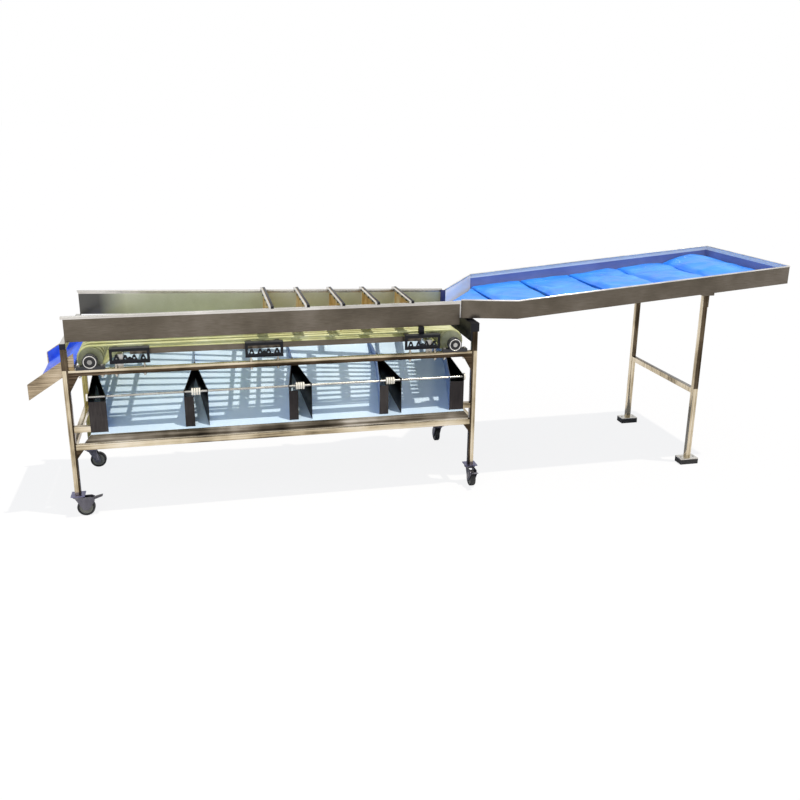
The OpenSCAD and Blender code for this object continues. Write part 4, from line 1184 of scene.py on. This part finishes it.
def crease(x, y, u, v, seed, folds_mm, rear_lift_mm):
    """How far a pad's top rises at a point; u and v are its shares of the length and width."""
    slow = fold(SLOW_FOLDS, x, y, seed)
    quick = fold(QUICK_FOLDS, x, y, seed + 5.0)
    ridge = 1.0 - abs(fold(RIDGES, x, y, seed + 9.0))
    inner = from_edge(u, CREASE_EDGE[0]) * from_edge(v, CREASE_EDGE[1])
    rise = folds_mm * (SLOW_SHARE * slow + QUICK_SHARE * quick + (ridge - RIDGE_LEVEL)) * inner
    middle, width, edge = HUMP_X
    hump = math.exp(-(((u - middle) / width) ** 2)) * from_edge(u, edge)
    start, curve, rear_edge = HUMP_Y
    lift = max(0.0, (v - start) / (1.0 - start)) ** curve
    return rise + rear_lift_mm * lift * hump * min(1.0, rear_edge * (1.0 - v))


def make_pad(node, finish, floor, seed, folds_mm, cap_mm, rear_lift_mm=0.0):
    """A foam pad in coated cloth: remeshed, blown up with Cloth, then creased by use."""
    low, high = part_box(node)
    pad = mesh_copy(node + "_padded", node)
    pad.data.remesh_voxel_size = PAD_VOXEL * MM
    bpy.ops.object.voxel_remesh()
    thin = pad.modifiers.new("thin", "DISPLACE")
    thin.strength = -PAD_DRAWN_IN * MM
    thin.mid_level = 0.0
    apply_modifiers(pad)
    swell(pad, cap_mm)
    draw_out(pad, low, high)
    size = high - low
    spill_x, spill_y = (spill * MM for spill in PAD_SPILL)
    for vertex in pad.data.vertices:
        x, y, z = vertex.co
        u = min(max((x - low.x) / size.x, 0.0), 1.0)
        v = min(max((y - low.y) / size.y, 0.0), 1.0)
        bed = floor(x / MM - ORIGIN_X) * MM
        if z > bed + PAD_TOP * MM:
            vertex.co.z += crease(x, y, u, v, seed, folds_mm, rear_lift_mm) * MM
        vertex.co.z = max(vertex.co.z, bed + PAD_GAP * MM)
        vertex.co.x = min(max(vertex.co.x, low.x - spill_x), high.x + spill_x)
        vertex.co.y = min(max(vertex.co.y, low.y - spill_y), high.y + spill_y)
    soft = pad.modifiers.new("soft", "SUBSURF")
    soft.levels = soft.render_levels = 1
    apply_modifiers(pad)
    bpy.ops.object.shade_smooth()
    paint(pad, finish)
    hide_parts(node)
    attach(pad, "machine")


def make_pads():
    """The pad at the tray's outer end stands higher at its rear."""
    for k in range(1, FEED_PADS + 1):
        lift = END_LIFT if k == FEED_PADS else FEED_LIFT
        make_pad(f"feed_pad_{k}", pad_cloth, tray_floor, 3.7 * k, FEED_FOLDS, FEED_CAP, lift)
    make_pad("neck_pad", pad_cloth, tray_floor, 1.3, folds_mm=2.5, cap_mm=5.0)
    make_pad("discharge_pad", deep_cloth, discharge_floor, 8.1, folds_mm=2.0, cap_mm=3.0)


def set_stage():
    """A pale floor, and a world that is white to the eye and to metal, and softer as light."""
    deselect()
    bpy.ops.mesh.primitive_plane_add(size=FLOOR_SIZE, location=FLOOR_AT)
    floor = bpy.context.active_object
    floor.name = "studio_floor"
    made, tree = new_material("pale_floor")
    path = add(tree, "LightPath")
    diffuse = add(tree, "BsdfDiffuse", {"Color": colour(FLOOR_COLOUR)})
    glow = add(tree, "Emission", {"Color": colour("#FFFFFF"), "Strength": 1.0})
    seen = add(
        tree, "Math", {0: path.outputs["Is Camera Ray"], 1: FLOOR_WHITE}, operation="MULTIPLY"
    )
    shader = add(
        tree, "MixShader", {0: seen.outputs[0], 1: diffuse.outputs[0], 2: glow.outputs[0]}
    )
    add(tree, "OutputMaterial", {"Surface": shader.outputs[0]})
    paint(floor, made)

    world = bpy.data.worlds.new("studio_world")
    world.use_nodes = True
    bpy.context.scene.world = world
    tree = world.node_tree
    tree.nodes.clear()
    path = add(tree, "LightPath")
    seen = path.outputs["Is Camera Ray"]
    for ray in ("Is Glossy Ray", "Is Transmission Ray"):
        seen = add(tree, "Math", {0: seen, 1: path.outputs[ray]}, operation="MAXIMUM").outputs[0]
    strength = add(tree, "MapRange", {"Value": seen, "To Min": SKY_STRENGTH, "To Max": 1.0})
    tint = add(tree, "ValToRGB", {"Fac": seen}, [(0.0, SKY_TINT), (1.0, "#FFFFFF")])
    sky = add(
        tree, "Background", {"Color": tint.outputs["Color"], "Strength": strength.outputs[0]}
    )
    add(tree, "OutputWorld", {"Surface": sky.outputs[0]})


def aim(lamp, direction):
    lamp.rotation_euler = Vector(direction).to_track_quat("-Z", "Y").to_euler()


def set_lights():
    sun = bpy.data.lights.new("key_light", "SUN")
    sun.energy = SUN_STRENGTH
    sun.color = colour(SUN_COLOUR)[:3]
    sun.angle = math.radians(SUN_ANGLE)
    aim(put("key_light", sun), SUN_AIM)
    softbox = bpy.data.lights.new("fill_softbox", "AREA")
    softbox.shape = "RECTANGLE"
    softbox.size, softbox.size_y = SOFTBOX_SIZE
    softbox.energy = SOFTBOX_POWER
    fill = put("fill_softbox", softbox)
    fill.location = SOFTBOX_AT
    aim(fill, Vector(SOFTBOX_AIM) - Vector(SOFTBOX_AT))


set_camera()
bpy.context.scene.view_settings.view_transform = "Standard"
set_stage()
set_lights()
paint_nodes()
make_frame()
make_trough()
make_curtains()
make_chutes()
make_trays()
make_drums()
make_housing_rings()
make_casters()
make_belts()
make_pads()
